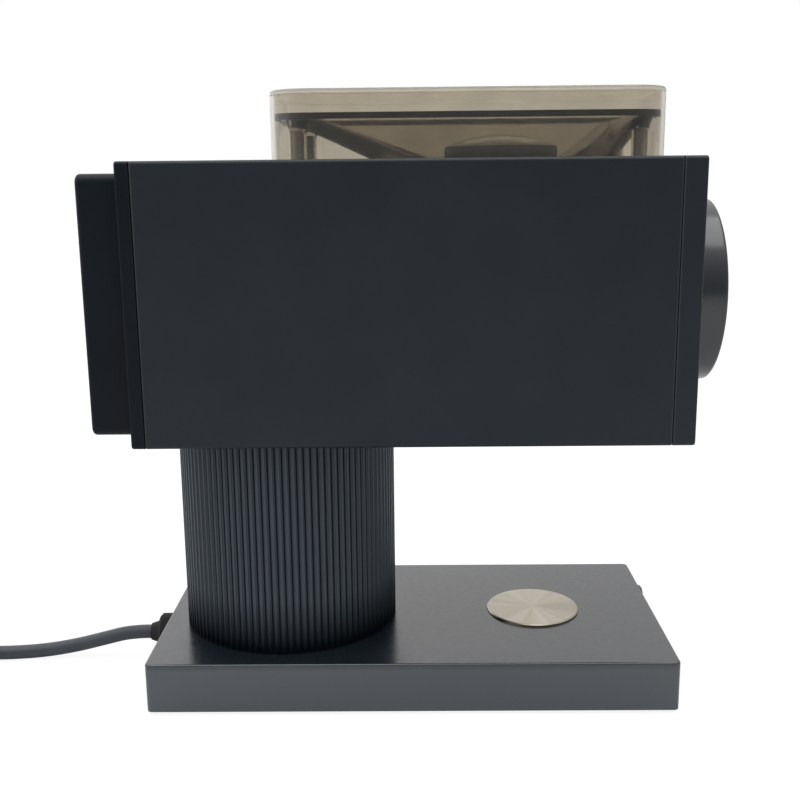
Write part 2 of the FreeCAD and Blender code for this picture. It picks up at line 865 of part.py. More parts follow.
def build_body():
    """Extruded shell, front plate, rear bezel and rear cover."""
    shell = new_body("body_shell")
    outline = sketch(shell, "YZ_Plane")
    rounded_rectangle(outline, 0, 0, d.body_width, d.body_height, d.body_corner)
    pad(shell, outline, d.shell_length)
    bore = sketch(shell, "YZ_Plane")
    wide, high = d.body_width / 2 - d.body_wall, d.body_height / 2 - d.body_wall
    near_u, near_v = wide - d.screw_block, high - d.screw_block
    polygon(bore, [(wide, -near_v), (wide, near_v), (near_u, near_v), (near_u, high),
                   (-near_u, high), (-near_u, near_v), (-wide, near_v), (-wide, -near_v),
                   (-near_u, -near_v), (-near_u, -high), (near_u, -high), (near_u, -near_v)])
    pocket(shell, bore, d.shell_length, back=True)
    threads = sketch(shell, "YZ_Plane")
    for u, v in cover_screw_spots():
        circle(threads, u, v, d.screw_radius)
    pocket(shell, threads, d.screw_grip * 2, back=True)
    floor_holes = sketch(shell, "XY_Plane")
    for x, y in tie_spots:
        circle(floor_holes, x - x_shell, y, d.tie_radius + d.hole_clear)
    circle(floor_holes, x_column + d.loom_offset - x_shell, 0, d.loom_radius + d.hole_clear)
    rectangle(floor_holes, x_outlet - x_shell, 0, d.outlet_length + d.chute_wall * 2 + d.hole_clear * 2,
              d.outlet_width + d.chute_wall * 2 + d.hole_clear * 2)
    pocket(shell, floor_holes, d.body_height)
    mouth = sketch(shell, "XY_Plane")
    rear, front, half_width, corner = funnel_section(z_body_top)
    rounded_rectangle(mouth, (rear + front) / 2 - x_shell, 0, front - rear + d.mouth_clear * 2,
                      half_width * 2 + d.mouth_clear * 2, corner + d.mouth_clear)
    for x, y in post_spots():
        circle(mouth, x - x_shell, y, d.screw_radius + d.hole_clear)
    pocket(shell, mouth, d.body_height, back=True)
    place(shell, x_shell, 0, z_shaft)

    plate = new_body("front_plate")
    step = sketch(plate, "YZ_Plane")
    rounded_rectangle(step, 0, 0, d.body_width - d.seam_depth * 2, d.body_height - d.seam_depth * 2,
                      d.body_corner)
    pad(plate, step, d.seam_gap)
    face = sketch(plate, "YZ_Plane", d.seam_gap)
    rounded_rectangle(face, 0, 0, d.body_width, d.body_height, d.body_corner)
    pad(plate, face, d.front_plate_thick - d.seam_gap)
    front = d.front_plate_thick.value
    round_edges(plate, d.bezel_edge, lambda p: abs(p.x - front) < 1e-6)
    bores = sketch(plate, "YZ_Plane")
    circle(bores, 0, 0, d.drive_nut_radius + d.running_clear)
    for u, v in on_circle(d.adjuster_screw_circle, ADJUSTER_SCREW_ANGLES):
        circle(bores, u, v, d.screw_radius + d.hole_clear)
    pocket(plate, bores, d.front_plate_thick, back=True)
    sinks = sketch(plate, "YZ_Plane", d.front_plate_thick)
    for u, v in on_circle(d.adjuster_screw_circle, ADJUSTER_SCREW_ANGLES):
        circle(sinks, u, v, d.screw_head_radius + d.hole_clear)
    pocket(plate, sinks, d.screw_head_height)
    threads = sketch(plate, "YZ_Plane")
    for u, v in four(seat_screw, seat_screw):
        circle(threads, u, v, d.screw_radius)
    pocket(plate, threads, d.front_plate_thick - d.screw_head_height, back=True)
    place(plate, x_plate, 0, z_shaft)
    spots = [(x_plate - d.head_seat, u, z_shaft + v)
             for u, v in four(seat_screw, seat_screw)]
    screws("chamber_screws", spots, AXIS_X, d.screw_radius,
           d.head_seat + d.front_plate_thick - d.screw_head_height * 2, d.screw_head_radius,
           d.screw_head_height)
    spots = [(x_front - d.screw_head_height, u, z_shaft + v)
             for u, v in on_circle(d.adjuster_screw_circle, ADJUSTER_SCREW_ANGLES)]
    screws("adjuster_screws", spots, AXIS_X_BACK, d.screw_radius,
           d.front_plate_thick + d.adjuster_flange - d.screw_head_height * 2, d.screw_head_radius,
           d.screw_head_height)

    bezel = new_body("rear_bezel")
    frame = sketch(bezel, "YZ_Plane")
    rounded_rectangle(frame, 0, 0, d.body_width, d.body_height, d.body_corner)
    pad(bezel, frame, d.rear_bezel_thick - d.seam_gap)
    round_edges(bezel, d.bezel_edge, lambda p: abs(p.x) < 1e-6)
    step = sketch(bezel, "YZ_Plane", d.rear_bezel_thick - d.seam_gap)
    rounded_rectangle(step, 0, 0, d.body_width - d.seam_depth * 2, d.body_height - d.seam_depth * 2,
                      d.body_corner)
    pad(bezel, step, d.seam_gap)
    window = sketch(bezel, "YZ_Plane")
    rectangle(window, 0, 0, near_u * 2, near_v * 2)
    for u, v in cover_screw_spots():
        circle(window, u, v, d.screw_radius + d.hole_clear)
    pocket(bezel, window, d.rear_bezel_thick, back=True)
    place(bezel, x_bezel, 0, z_shaft)
    build_rear_cover()


def build_rear_cover():
    """Hollow rear cover with vent slots and four screw posts."""
    cover = new_body("rear_cover")
    width = d.body_width - d.rear_cover_inset * 2
    height = d.body_height - d.rear_cover_inset * 2
    outline = sketch(cover, "YZ_Plane")
    rounded_rectangle(outline, 0, 0, width, height, d.rear_cover_corner)
    pad(cover, outline, d.rear_cover_depth)
    round_edges(cover, d.rear_cover_edge, lambda p: abs(p.x) < 1e-6)
    hollow = sketch(cover, "YZ_Plane", d.rear_cover_depth)
    rounded_rectangle(hollow, 0, 0, width - d.rear_cover_wall * 2, height - d.rear_cover_wall * 2,
                      d.rear_cover_corner - d.rear_cover_wall / 2)
    pocket(cover, hollow, d.rear_cover_depth - d.rear_cover_wall)
    posts = sketch(cover, "YZ_Plane", d.rear_cover_wall)
    for u, v in cover_screw_spots():
        circle(posts, u, v, d.cover_post_radius)
    pad(cover, posts, d.rear_cover_depth - d.rear_cover_wall)
    holes = sketch(cover, "YZ_Plane")
    for u, v in cover_screw_spots():
        circle(holes, u, v, d.screw_radius + d.hole_clear)
    pocket(cover, holes, d.rear_cover_depth, back=True)
    sinks = sketch(cover, "YZ_Plane")
    for u, v in cover_screw_spots():
        circle(sinks, u, v, d.screw_head_radius + d.hole_clear)
    pocket(cover, sinks, d.screw_head_height, back=True)
    slot_outline = sketch(cover, "YZ_Plane")
    bottom = -(d.vent_count - 1) * d.vent_pitch / 2
    rounded_rectangle(slot_outline, 0, bottom, d.vent_length, d.vent_width, d.vent_width * 0.45)
    slot = pocket(cover, slot_outline, d.rear_cover_wall, back=True)
    linear(cover, slot, d.vent_count, -bottom * 2, "Z_Axis")
    place(cover, x_rear, 0, z_shaft)
    spots = [(x_rear + d.screw_head_height, u, z_shaft + v) for u, v in cover_screw_spots()]
    screws("rear_cover_screws", spots, AXIS_X, d.screw_radius,
           d.rear_cover_depth + d.rear_bezel_thick + d.screw_grip, d.screw_head_radius,
           d.screw_head_height)


def build_motor():
    """Stator between two bells on a cradle, with plain bushes for the sliding shaft."""
    rim = bell_radius - d.bell_rim
    hub = d.bush_radius + d.hub_wall
    depth = d.front_bell_depth
    front = turned("motor_front_bell", [
        (0, rim), (0, bell_radius), (depth, bell_radius), (depth, d.bush_radius),
        (depth - d.bush_length, d.bush_radius), (depth - d.bush_length, hub),
        (depth - d.bell_wall, hub), (depth - d.bell_wall, rim)], x_stator_front, 0, z_shaft)
    depth = d.rear_bell_depth
    rear = turned("motor_rear_bell", [
        (0, d.bush_radius), (0, bell_radius), (depth, bell_radius), (depth, rim),
        (d.bell_wall, rim), (d.bell_wall, hub), (d.bush_length, hub), (d.bush_length, d.bush_radius)],
        x_motor_rear, 0, z_shaft)
    for bell, length in ((front, d.front_bell_depth), (rear, d.rear_bell_depth)):
        holes = sketch(bell, "YZ_Plane")
        for u, v in on_circle(bolt_circle, BOLT_ANGLES):
            circle(holes, u, v, d.bolt_radius + d.running_clear)
        pocket(bell, holes, length, back=True)
    spots = [(x_motor_rear, u, z_shaft + v) for u, v in on_circle(bolt_circle, BOLT_ANGLES)]
    screws("motor_bolts", spots, AXIS_X, d.bolt_radius, x_feed - x_motor_rear, d.bolt_head_radius,
           d.bolt_head_height)

    stator = new_body("motor_stator")
    ring = sketch(stator, "YZ_Plane")
    circle(ring, 0, 0, stator_radius)
    circle(ring, 0, 0, stator_bore)
    pad(stator, ring, stator_length)
    slot_outline = sketch(stator, "YZ_Plane")
    rectangle(slot_outline, 0, stator_bore, d.stator_slot_width, d.stator_slot_depth * 2)
    slot = pocket(stator, slot_outline, stator_length, back=True)
    polar(stator, slot, d.stator_slot_count)
    place(stator, x_stator_rear, 0, z_shaft)
    coils = []
    for x in (x_stator_rear - d.winding_overhang, x_stator_front):
        at = (x, ZERO, z_shaft)
        coils.append(cut(cylinder(winding_outer, d.winding_overhang, at, AXIS_X),
                         cylinder(winding_inner, d.winding_overhang, at, AXIS_X)))
    group("motor_windings", coils)
    bush = [(0, d.shaft_radius + d.running_clear), (0, d.bush_radius), (d.bush_length, d.bush_radius),
            (d.bush_length, d.shaft_radius + d.running_clear)]
    turned("front_bush", bush, x_motor - d.bush_length, 0, z_shaft)
    turned("rear_bush", bush, x_motor_rear, 0, z_shaft)

    cradle = new_body("motor_cradle")
    floor = d.body_height / 2 - d.body_wall
    rear_end = -d.tie_offset - d.cradle_reach
    front_end = x_stator_front - d.bell_clear - x_column
    foot = sketch(cradle, "XY_Plane", -floor)
    rectangle(foot, (rear_end + front_end) / 2, 0, front_end - rear_end,
              d.body_width - d.cradle_margin * 2)
    pad(cradle, foot, floor - stator_radius + d.cradle_bite)
    saddle = sketch(cradle, "XZ_Plane")
    step = x_stator_rear - x_column
    clear_radius = bell_radius + d.bell_clear
    behind, ahead = rear_end - d.overlap, front_end + d.overlap
    polygon(saddle, [(behind, 0), (behind, clear_radius), (step, clear_radius),
                     (step, stator_radius), (ahead, stator_radius), (ahead, 0)])
    groove(cradle, saddle)
    threads = sketch(cradle, "XY_Plane", -floor)
    for u, v in four(d.tie_offset, d.tie_offset):
        circle(threads, u, v, d.tie_radius)
    pocket(cradle, threads, d.tie_grip, back=True)
    place(cradle, x_column, 0, z_shaft)


def build_drive():
    """Everything on the main shaft: rotor, fan, spring, auger, carrier and rotating burr."""
    x_fan = x_motor_rear - d.fan_gap - d.fan_disc - d.fan_blade
    turned("main_shaft", [(0, 0), (0, d.shaft_radius), (x_shaft_end - x_fan, d.shaft_radius),
                          (x_shaft_end - x_fan, 0)], x_fan, 0, z_shaft)
    radius = stator_bore - d.air_gap
    ring = radius - d.rotor_step
    stack = stator_length + d.rotor_ring
    turned("motor_rotor", [
        (0, d.shaft_radius), (0, ring), (d.rotor_ring, ring), (d.rotor_ring, radius), (stack, radius),
        (stack, ring), (stack + d.rotor_ring, ring), (stack + d.rotor_ring, d.shaft_radius)],
        x_stator_rear - d.rotor_ring, 0, z_shaft)
    length = d.fan_disc + d.fan_blade
    fan = turned("cooling_fan", [
        (0, d.shaft_radius), (0, d.fan_hub_radius), (d.fan_blade, d.fan_hub_radius),
        (d.fan_blade, fan_radius), (length, fan_radius), (length, d.shaft_radius)],
        x_fan, 0, z_shaft)
    blade_outline = sketch(fan, "YZ_Plane")
    root = d.fan_hub_radius - d.overlap
    tip = fan_radius - d.overlap
    rectangle(blade_outline, 0, (root + tip) / 2, d.fan_blade_thick, tip - root)
    blade = pad(fan, blade_outline, d.fan_blade)
    polar(fan, blade, d.fan_blade_count)

    x_auger = x_feed + d.feed_back + d.auger_clear
    x_hub = x_carrier - d.carrier_hub
    auger = turned("auger", [
        (0, d.shaft_radius), (0, d.auger_hub_radius), (x_hub - x_auger, d.auger_hub_radius),
        (x_hub - x_auger, d.shaft_radius)], x_auger, 0, z_shaft)
    flight_outline = sketch(auger, "XZ_Plane")
    inner = d.auger_hub_radius - d.overlap
    polygon(flight_outline, [(0, inner), (d.auger_flight, inner), (d.auger_flight, d.auger_radius),
                             (0, d.auger_radius)])
    flight = auger.newObject("PartDesign::AdditiveHelix", "auger_flight")
    flight.Profile = flight_outline
    flight.ReferenceAxis = (flight_outline, ["H_Axis"])
    flight.Mode = "pitch-height-angle"
    flight.setExpression("Pitch", d.auger_pitch.text)
    flight.setExpression("Height", (x_floor - x_auger - d.auger_flight).text)

    hub = d.carrier_hub
    carrier = turned("burr_carrier", [
        (0, d.shaft_radius), (0, d.carrier_hub_radius), (hub, d.carrier_hub_radius),
        (hub, d.carrier_radius), (hub + d.carrier_thick, d.carrier_radius),
        (hub + d.carrier_thick, d.shaft_radius)], x_hub, 0, z_shaft)
    wiper_outline = sketch(carrier, "YZ_Plane", hub - d.burr_thick)
    low = d.burr_radius + d.wiper_clear
    high = d.carrier_radius + d.wiper_reach
    rectangle(wiper_outline, 0, (low + high) / 2, d.wiper_thick, high - low)
    wiper = pad(carrier, wiper_outline, d.burr_thick + d.carrier_thick)
    polar(carrier, wiper, 3)
    holes = sketch(carrier, "YZ_Plane")
    for u, v in on_circle(d.burr_screw_circle, BURR_SCREW_ANGLES):
        circle(holes, u, v, d.screw_radius + d.hole_clear)
    pocket(carrier, holes, hub + d.carrier_thick, back=True)
    burr("rotating_burr", x_carrier, HALF_TURN)
    spots = [(x_nut, u, z_shaft + v) for u, v in on_circle(d.burr_screw_circle, BURR_SCREW_ANGLES)]
    screws("rotating_burr_screws", spots, AXIS_X_BACK, d.screw_radius,
           d.carrier_thick + d.burr_screw_grip, d.screw_head_radius, d.screw_head_height)
    hexagon = doc.addObject("Part::Prism", "hexagon")
    hexagon.Polygon = 6
    hexagon.setExpression("Circumradius", d.nut_across.text)
    hexagon.setExpression("Height", d.nut_thick.text)
    place(hexagon, x_nut, 0, z_shaft, AXIS_X)
    keep("carrier_nut", cut(hexagon, cylinder(d.shaft_radius, d.nut_thick, (x_nut, ZERO, z_shaft), AXIS_X)))


def burr(label, x_seat, turn):
    """A flat burr: a steel ring with leaning saw teeth that run out towards the rim."""
    ring = turned(label, [(0, d.burr_bore), (0, d.burr_radius), (d.burr_thick, d.burr_radius),
                          (d.burr_thick, d.burr_bore)], x_seat, 0, z_shaft, turn)
    face = d.burr_thick
    sections = []
    for lift, width, depth, shift in (
            (d.burr_bore - d.overlap, d.burr_tooth_width, d.burr_tooth_depth, ZERO),
            (d.burr_radius + d.overlap, d.burr_land_width, d.burr_land_depth, d.burr_tooth_lean)):
        section = sketch(ring, "XY_Plane", lift)
        polygon(section, [(face, shift), (face + d.overlap, shift), (face + d.overlap, shift + width),
                          (face - depth, shift + width)])
        sections.append(section)
    tooth = loft(ring, *sections, cut=True)
    polar(ring, tooth, d.burr_tooth_count)
    threads = sketch(ring, "YZ_Plane")
    mirror = -1 if turn is HALF_TURN else 1
    for u, v in on_circle(d.burr_screw_circle, BURR_SCREW_ANGLES):
        circle(threads, u * mirror, v, d.screw_radius)
    pocket(ring, threads, d.burr_screw_grip, back=True)
    return ring


def build_head():
    """Grind chamber casting with feed inlet and outlet, the fixed burr and the chute."""
    flange = d.head_flange
    tube = flange + d.feed_length
    back = tube + d.chamber_back
    mouth = x_plate - x_motor
    tube_radius = d.feed_bore + d.feed_wall
    outer = d.chamber_bore + d.chamber_wall
    chamber = turned("grind_chamber", [
        (0, 0), (0, bell_radius), (flange, bell_radius), (flange, tube_radius),
        (tube, tube_radius), (tube, outer), (mouth, outer), (mouth, 0)], x_motor, 0, z_shaft)
    inlet_top = z_funnel_base - d.inlet_gap - z_shaft
    flat = sketch(chamber, "YZ_Plane")
    flat_height = least(inlet_top, bell_radius - d.flange_trim)
    rectangle(flat, 0, flat_height + bell_radius / 2, bell_radius * 2, bell_radius)
    pocket(chamber, flat, flange, back=True)
    seat = sketch(chamber, "YZ_Plane", mouth - d.head_seat)
    rounded_rectangle(seat, 0, 0, seat_half * 2, seat_half * 2, d.head_seat_corner)
    pad(chamber, seat, d.head_seat)
    inlet = sketch(chamber, "XY_Plane")
    circle(inlet, x_inlet - x_motor, 0, d.inlet_radius + d.inlet_wall)
    pad(chamber, inlet, inlet_top)
    outlet = sketch(chamber, "XY_Plane")
    rectangle(outlet, x_outlet - x_motor, 0, d.outlet_length + d.outlet_wall * 2,
              d.outlet_width + d.outlet_wall * 2)
    pad(chamber, outlet, z_shaft - z_body_floor - d.chute_flange_thick, back=True)
    bores = sketch(chamber, "XZ_Plane")
    shaft_bore = d.shaft_radius + d.shaft_gap
    polygon(bores, [(0, 0), (0, shaft_bore), (flange + d.feed_back, shaft_bore),
                    (flange + d.feed_back, d.feed_bore), (back, d.feed_bore), (back, d.chamber_bore),
                    (mouth, d.chamber_bore), (mouth, 0)])
    groove(chamber, bores)
    inlet_bore = sketch(chamber, "XY_Plane")
    circle(inlet_bore, x_inlet - x_motor, 0, d.inlet_radius)
    pocket(chamber, inlet_bore, inlet_top, back=True)
    outlet_bore = sketch(chamber, "XY_Plane")
    rectangle(outlet_bore, x_outlet - x_motor, 0, d.outlet_length, d.outlet_width)
    pocket(chamber, outlet_bore, z_shaft - z_body_floor)
    seat_holes = sketch(chamber, "YZ_Plane", mouth)
    for u, v in four(seat_screw, seat_screw):
        circle(seat_holes, u, v, d.screw_radius + d.hole_clear)
    pocket(chamber, seat_holes, d.head_seat)
    bolt_threads = sketch(chamber, "YZ_Plane")
    for u, v in on_circle(bolt_circle, BOLT_ANGLES):
        circle(bolt_threads, u, v, d.bolt_radius)
    pocket(chamber, bolt_threads, flange, back=True)
    burr_holes = sketch(chamber, "YZ_Plane", back)
    for u, v in on_circle(d.burr_screw_circle, BURR_SCREW_ANGLES):
        circle(burr_holes, u, v, d.screw_radius + d.hole_clear)
    pocket(chamber, burr_holes, d.chamber_back)

    burr("fixed_burr", x_floor, AXIS_Z)
    spots = [(x_back, u, z_shaft + v) for u, v in on_circle(d.burr_screw_circle, BURR_SCREW_ANGLES)]
    screws("fixed_burr_screws", spots, AXIS_X, d.screw_radius, d.chamber_back + d.burr_screw_grip,
           d.screw_head_radius, d.screw_head_height)

    chute = new_body("grounds_chute")
    length = d.outlet_length + d.chute_wall * 2
    width = d.outlet_width + d.chute_wall * 2
    collar = sketch(chute, "XY_Plane")
    rectangle(collar, 0, 0, length + d.chute_flange * 2, width + d.chute_flange * 2)
    pad(chute, collar, d.chute_flange_thick)
    spout = sketch(chute, "XY_Plane")
    rectangle(spout, 0, 0, length, width)
    pad(chute, spout, d.body_wall + d.chute_drop, back=True)
    passage = sketch(chute, "XY_Plane", d.chute_flange_thick)
    rectangle(passage, 0, 0, d.outlet_length, d.outlet_width)
    pocket(chute, passage, d.chute_flange_thick + d.body_wall + d.chute_drop)
    place(chute, x_outlet, 0, z_body_floor)


def build_adjuster():
    """Housing, spindle and dial that set the gap between the burrs."""
    length = x_plate - x_lid
    bush_front = length - d.ring_bay
    bush_rear = bush_front - d.spindle_bush
    bore = d.spindle_radius + d.running_clear
    ring_bay = d.ring_radius + d.hole_clear
    housing = turned("adjuster_housing", [
        (0, d.nut_bay_radius), (0, d.chamber_bore - d.lid_clear),
        (d.lid_thick, d.chamber_bore - d.lid_clear), (d.lid_thick, d.adjuster_hub_radius),
        (length - d.adjuster_flange, d.adjuster_hub_radius),
        (length - d.adjuster_flange, d.adjuster_flange_radius), (length, d.adjuster_flange_radius),
        (length, ring_bay), (bush_front, ring_bay), (bush_front, bore), (bush_rear, bore),
        (bush_rear, d.nut_bay_radius)], x_lid, 0, z_shaft)
    threads = sketch(housing, "YZ_Plane", length)
    for u, v in on_circle(d.adjuster_screw_circle, ADJUSTER_SCREW_ANGLES):
        circle(threads, u, v, d.screw_radius)
    pocket(housing, threads, d.adjuster_flange)

    cup = d.ball_radius + d.running_clear
    turned("thrust_spindle", [
        (0, cup), (0, d.spindle_radius), (d.spindle_length, d.spindle_radius), (d.spindle_length, 0),
        (d.ball_radius, 0), (d.ball_radius, cup)], x_spindle, 0, z_shaft)
    ball = doc.addObject("Part::Sphere", "ball")
    ball.setExpression("Radius", d.ball_radius.text)
    place(ball, x_spindle, 0, z_shaft)
    keep("thrust_ball", ball)

    x_nut_rear = x_plate - d.drive_nut_reach
    nut_length = x_dial - d.dial_face_thick - x_nut_rear
    turned("drive_nut", [(0, bore), (0, d.drive_nut_radius), (nut_length, d.drive_nut_radius),
                         (nut_length, bore)], x_nut_rear, 0, z_shaft)
    turned("retaining_ring", [(0, d.drive_nut_radius), (0, d.ring_radius), (d.ring_thick, d.ring_radius),
                              (d.ring_thick, d.drive_nut_radius)],
           x_plate - d.ring_thick - d.running_clear, 0, z_shaft)
    depth = d.dial_stand - d.dial_gap
    inside = depth - d.dial_face_thick
    knob = turned("dial_knob", [
        (0, d.dial_radius - d.dial_rim), (0, d.dial_radius), (depth, d.dial_radius),
        (depth, d.dial_face_radius), (depth - d.dial_inlay, d.dial_face_radius),
        (depth - d.dial_inlay, 0), (inside, 0), (inside, d.drive_nut_radius), (0, d.drive_nut_radius),
        (0, d.dial_boss_radius), (inside, d.dial_boss_radius), (inside, d.dial_radius - d.dial_rim)],
        x_front + d.dial_gap, 0, z_shaft)
    front, rim = depth.value, d.dial_radius.value
    round_edges(knob, d.dial_edge, lambda p: abs(p.x - front) < 1e-6 and p.y ** 2 + p.z ** 2 > (rim - 1) ** 2)
    turned("dial_face", [(0, 0), (0, d.dial_face_radius - d.disc_clear),
                         (d.dial_inlay, d.dial_face_radius - d.disc_clear), (d.dial_inlay, 0)],
           x_dial - d.dial_inlay, 0, z_shaft)


def rim_outline(inset):
    """Length, width and corner of the hopper's plan, drawn in from its outside."""
    return d.hopper_length - inset * 2, d.hopper_width - inset * 2, d.hopper_corner - inset


def seal_inset():
    return d.hopper_wall + d.seal_clear


def funnel_inset():
    return seal_inset() + d.seal_width + d.rim_border


def funnel_floor(grow=ZERO):
    """Rear end, front end, half width and corner of the funnel's floor inside, or grown by a wall."""
    front = x_front - d.funnel_floor_setback
    rear = front - d.funnel_floor_length
    return rear - grow, front + grow, d.funnel_floor_width / 2 + grow, d.funnel_floor_corner + grow


def funnel_top(inset):
    """Rear end, front end, half width and corner of the funnel under its rim."""
    return (x_hopper_rear + inset, x_hopper_front - inset, d.hopper_width / 2 - inset,
            d.hopper_corner - inset)


def funnel_section(z):
    """The same four sizes of the funnel's outside at a level between floor and rim."""
    share = (z_rim - z) / (z_rim - z_funnel_base)
    return tuple(top + (low - top) * share
                 for top, low in zip(funnel_top(funnel_inset()), funnel_floor(d.funnel_wall)))


def post_spots():
    """Feet of the four hopper posts on the body's top."""
    rear = x_hopper_rear + d.post_rear
    front = x_hopper_front - d.post_front
    return [(rear, d.post_side), (rear, -d.post_side), (front, d.post_side), (front, -d.post_side)]


def build_hopper():
    """Funnel on four posts, its seal, the throat collar with its guard, and the lift-off cover."""
    funnel = new_body("hopper_funnel")

    def section(z, rear, front, half, corner):
        sk = sketch(funnel, "XY_Plane", z - z_body_top)
        rounded_rectangle(sk, (rear + front) / 2 - x_hopper, 0, front - rear, half * 2, corner)
        return sk

    loft(funnel, section(z_funnel_base, *funnel_floor(d.funnel_wall)),
         section(z_rim, *funnel_top(funnel_inset())))
    rim = sketch(funnel, "XY_Plane", d.rim_height)
    rounded_rectangle(rim, 0, 0, *rim_outline(seal_inset() + d.seal_width))
    pad(funnel, rim, d.seal_thick)
    posts = sketch(funnel, "XY_Plane")
    for x, y in post_spots():
        circle(posts, x - x_hopper, y, d.post_radius)
    pad(funnel, posts, d.rim_height)
    for x, y in post_spots():
        neck = sketch(funnel, "XY_Plane", d.rim_height - d.post_flare_height)
        circle(neck, x - x_hopper, y, d.post_radius)
        head = sketch(funnel, "XY_Plane", d.rim_height)
        circle(head, x - x_hopper, y, d.post_radius + d.post_flare)
        loft(funnel, neck, head)
    loft(funnel, section(z_funnel_floor, *funnel_floor()),
         section(z_rim + d.seal_thick, *funnel_top(funnel_inset() + d.funnel_wall)), cut=True)
    throat = sketch(funnel, "XY_Plane")
    circle(throat, x_inlet - x_hopper, 0, d.inlet_radius)
    pocket(funnel, throat, z_body_top - z_funnel_base)
    threads = sketch(funnel, "XY_Plane")
    for x, y in post_spots():
        circle(threads, x - x_hopper, y, d.screw_radius)
    pocket(funnel, threads, d.post_grip, back=True)
    place(funnel, x_hopper, 0, z_body_top)
    spots = [(x, y, z_body_top - d.body_wall) for x, y in post_spots()]
    screws("hopper_screws", spots, AXIS_Z, d.screw_radius, d.body_wall + d.post_grip,
           d.screw_head_radius, d.screw_head_height)

    seal = new_body("hopper_seal")
    band = sketch(seal, "XY_Plane")
    rounded_rectangle(band, 0, 0, *rim_outline(seal_inset()))
    rounded_rectangle(band, 0, 0, *rim_outline(seal_inset() + d.seal_width))
    pad(seal, band, d.seal_thick)
    place(seal, x_hopper, 0, z_rim)

    x_collar = x_inlet + d.collar_shift
    inner = d.collar_radius - d.collar_wall
    collar = standing("throat_collar", [(inner, 0), (d.collar_radius, 0), (d.collar_radius, d.collar_height),
                                        (inner, d.collar_height)], x_collar, 0, z_funnel_floor)
    for plane in ("XZ_Plane", "YZ_Plane"):
        window = sketch(collar, plane)
        rectangle(window, 0, d.collar_window / 2, d.collar_radius, d.collar_window)
        pocket(collar, window, d.collar_radius * 3, both=True)
    z_guard = z_funnel_floor + d.collar_height
    dome = (d.collar_radius * d.collar_radius + d.guard_rise * d.guard_rise) / (d.guard_rise * 2)
    balls = []
    for radius in (dome, dome - d.guard_thick):
        ball = doc.addObject("Part::Sphere", "dome")
        ball.setExpression("Radius", radius.text)
        place(ball, x_collar, 0, z_guard + d.guard_rise - dome)
        balls.append(ball)
    cap = doc.addObject("Part::Common", "cap")
    cap.Base = balls[0]
    cap.Tool = cylinder(d.collar_radius, d.guard_rise * 2, (x_collar, ZERO, z_guard))
    keep("finger_guard", cut(cap, balls[1]))

    cover = new_body("hopper_cover")
    outside = sketch(cover, "XY_Plane")
    rounded_rectangle(outside, 0, 0, d.hopper_length, d.hopper_width, d.hopper_corner)
    pad(cover, outside, d.hopper_height)
    top = d.hopper_height.value
    round_edges(cover, d.hopper_edge, lambda p: abs(p.z - top) < 1e-6)
    inside = sketch(cover, "XY_Plane")
    rounded_rectangle(inside, 0, 0, *rim_outline(d.hopper_wall))
    pocket(cover, inside, d.hopper_height - d.hopper_wall, back=True)
    place(cover, x_hopper, 0, z_body_top)


# Paths of straight runs and arcs for cords and springs
def arc_from(start, tangent, end):
    """The arc that leaves a point along a tangent and ends at another point."""
    chord = end - start
    unit = V(chord).normalize()
    along = V(tangent).normalize()
    side = along - unit * along.dot(unit)
    if side.Length < 1e-7:
        return Part.LineSegment(start, end).toShape()
    half_angle = math.acos(max(-1.0, min(1.0, along.dot(unit)))) / 2
    middle = start + chord * 0.5 + side.normalize() * (chord.Length / 2 * math.tan(half_angle))
    return Part.Arc(start, middle, end).toShape()


def biarc(start, tangent_start, end, tangent_end):
    """Two tangent arcs between two points with given directions."""
    gap = end - start
    both = tangent_start + tangent_end
    square = 2 * (1 - tangent_start.dot(tangent_end))
    linear_part = 2 * gap.dot(both)
    if square < 1e-9:
        reach = gap.dot(gap) / linear_part
    else:
        root = math.sqrt(linear_part ** 2 + 4 * square * gap.dot(gap))
        reach = (root - linear_part) / (2 * square)
    joint = (start + tangent_start * reach + end - tangent_end * reach) * 0.5
    first = arc_from(start, tangent_start, joint)
    last = arc_from(end, tangent_end * -1, joint)
    return [first, last.reversed()]


def tube(label, edges, radius):
    """A round tube along joined edges; its volume has to match its length."""
    path = Part.Wire(Part.__sortEdges__(edges))
    start = path.OrderedEdges[0]
    first = start.firstVertex(True).Point
    heading = start.tangentAt(start.FirstParameter)
    section = Part.Wire(Part.Circle(first, heading, radius).toShape())
    shape = path.makePipeShell([section], True, False)
    ratio = shape.Volume / (math.pi * radius ** 2 * path.Length)
    print(f"{label}: length {path.Length:.1f}, volume against section by length {ratio:.4f}")
    obj = doc.addObject("Part::Feature", label)
    obj.Shape = shape
    obj.Placement = FreeCAD.Placement()
    return keep(label, obj), path


def rounded_route(points):
    """Straight runs through the points, joined by arcs as large as the runs allow."""
    edges = []
    radii = []
    position = points[0]
    for before, corner, after in zip(points, points[1:], points[2:]):
        into, out = corner - before, after - corner
        shorter = min(into.Length, out.Length)
        setback = 0.45 * shorter
        turn = into.getAngle(out)
        radii.append(setback / math.tan(turn / 2))
        start = corner - V(into).normalize() * setback
        end = corner + V(out).normalize() * setback
        edges.append(Part.LineSegment(position, start).toShape())
        edges.append(arc_from(start, into, end))
        position = end
    edges.append(Part.LineSegment(position, points[-1]).toShape())
    print("cord radii", [round(r, 1) for r in radii])
    return edges


def least_gap(path, diameter):
    """Least clear distance of a tube to itself, measured on points along its path."""
    points = path.discretize(Distance=2.0)
    apart = int(3 * diameter)
    least = min(p.distanceToPoint(q) for i, p in enumerate(points) for q in points[i + apart:])
    return least - diameter


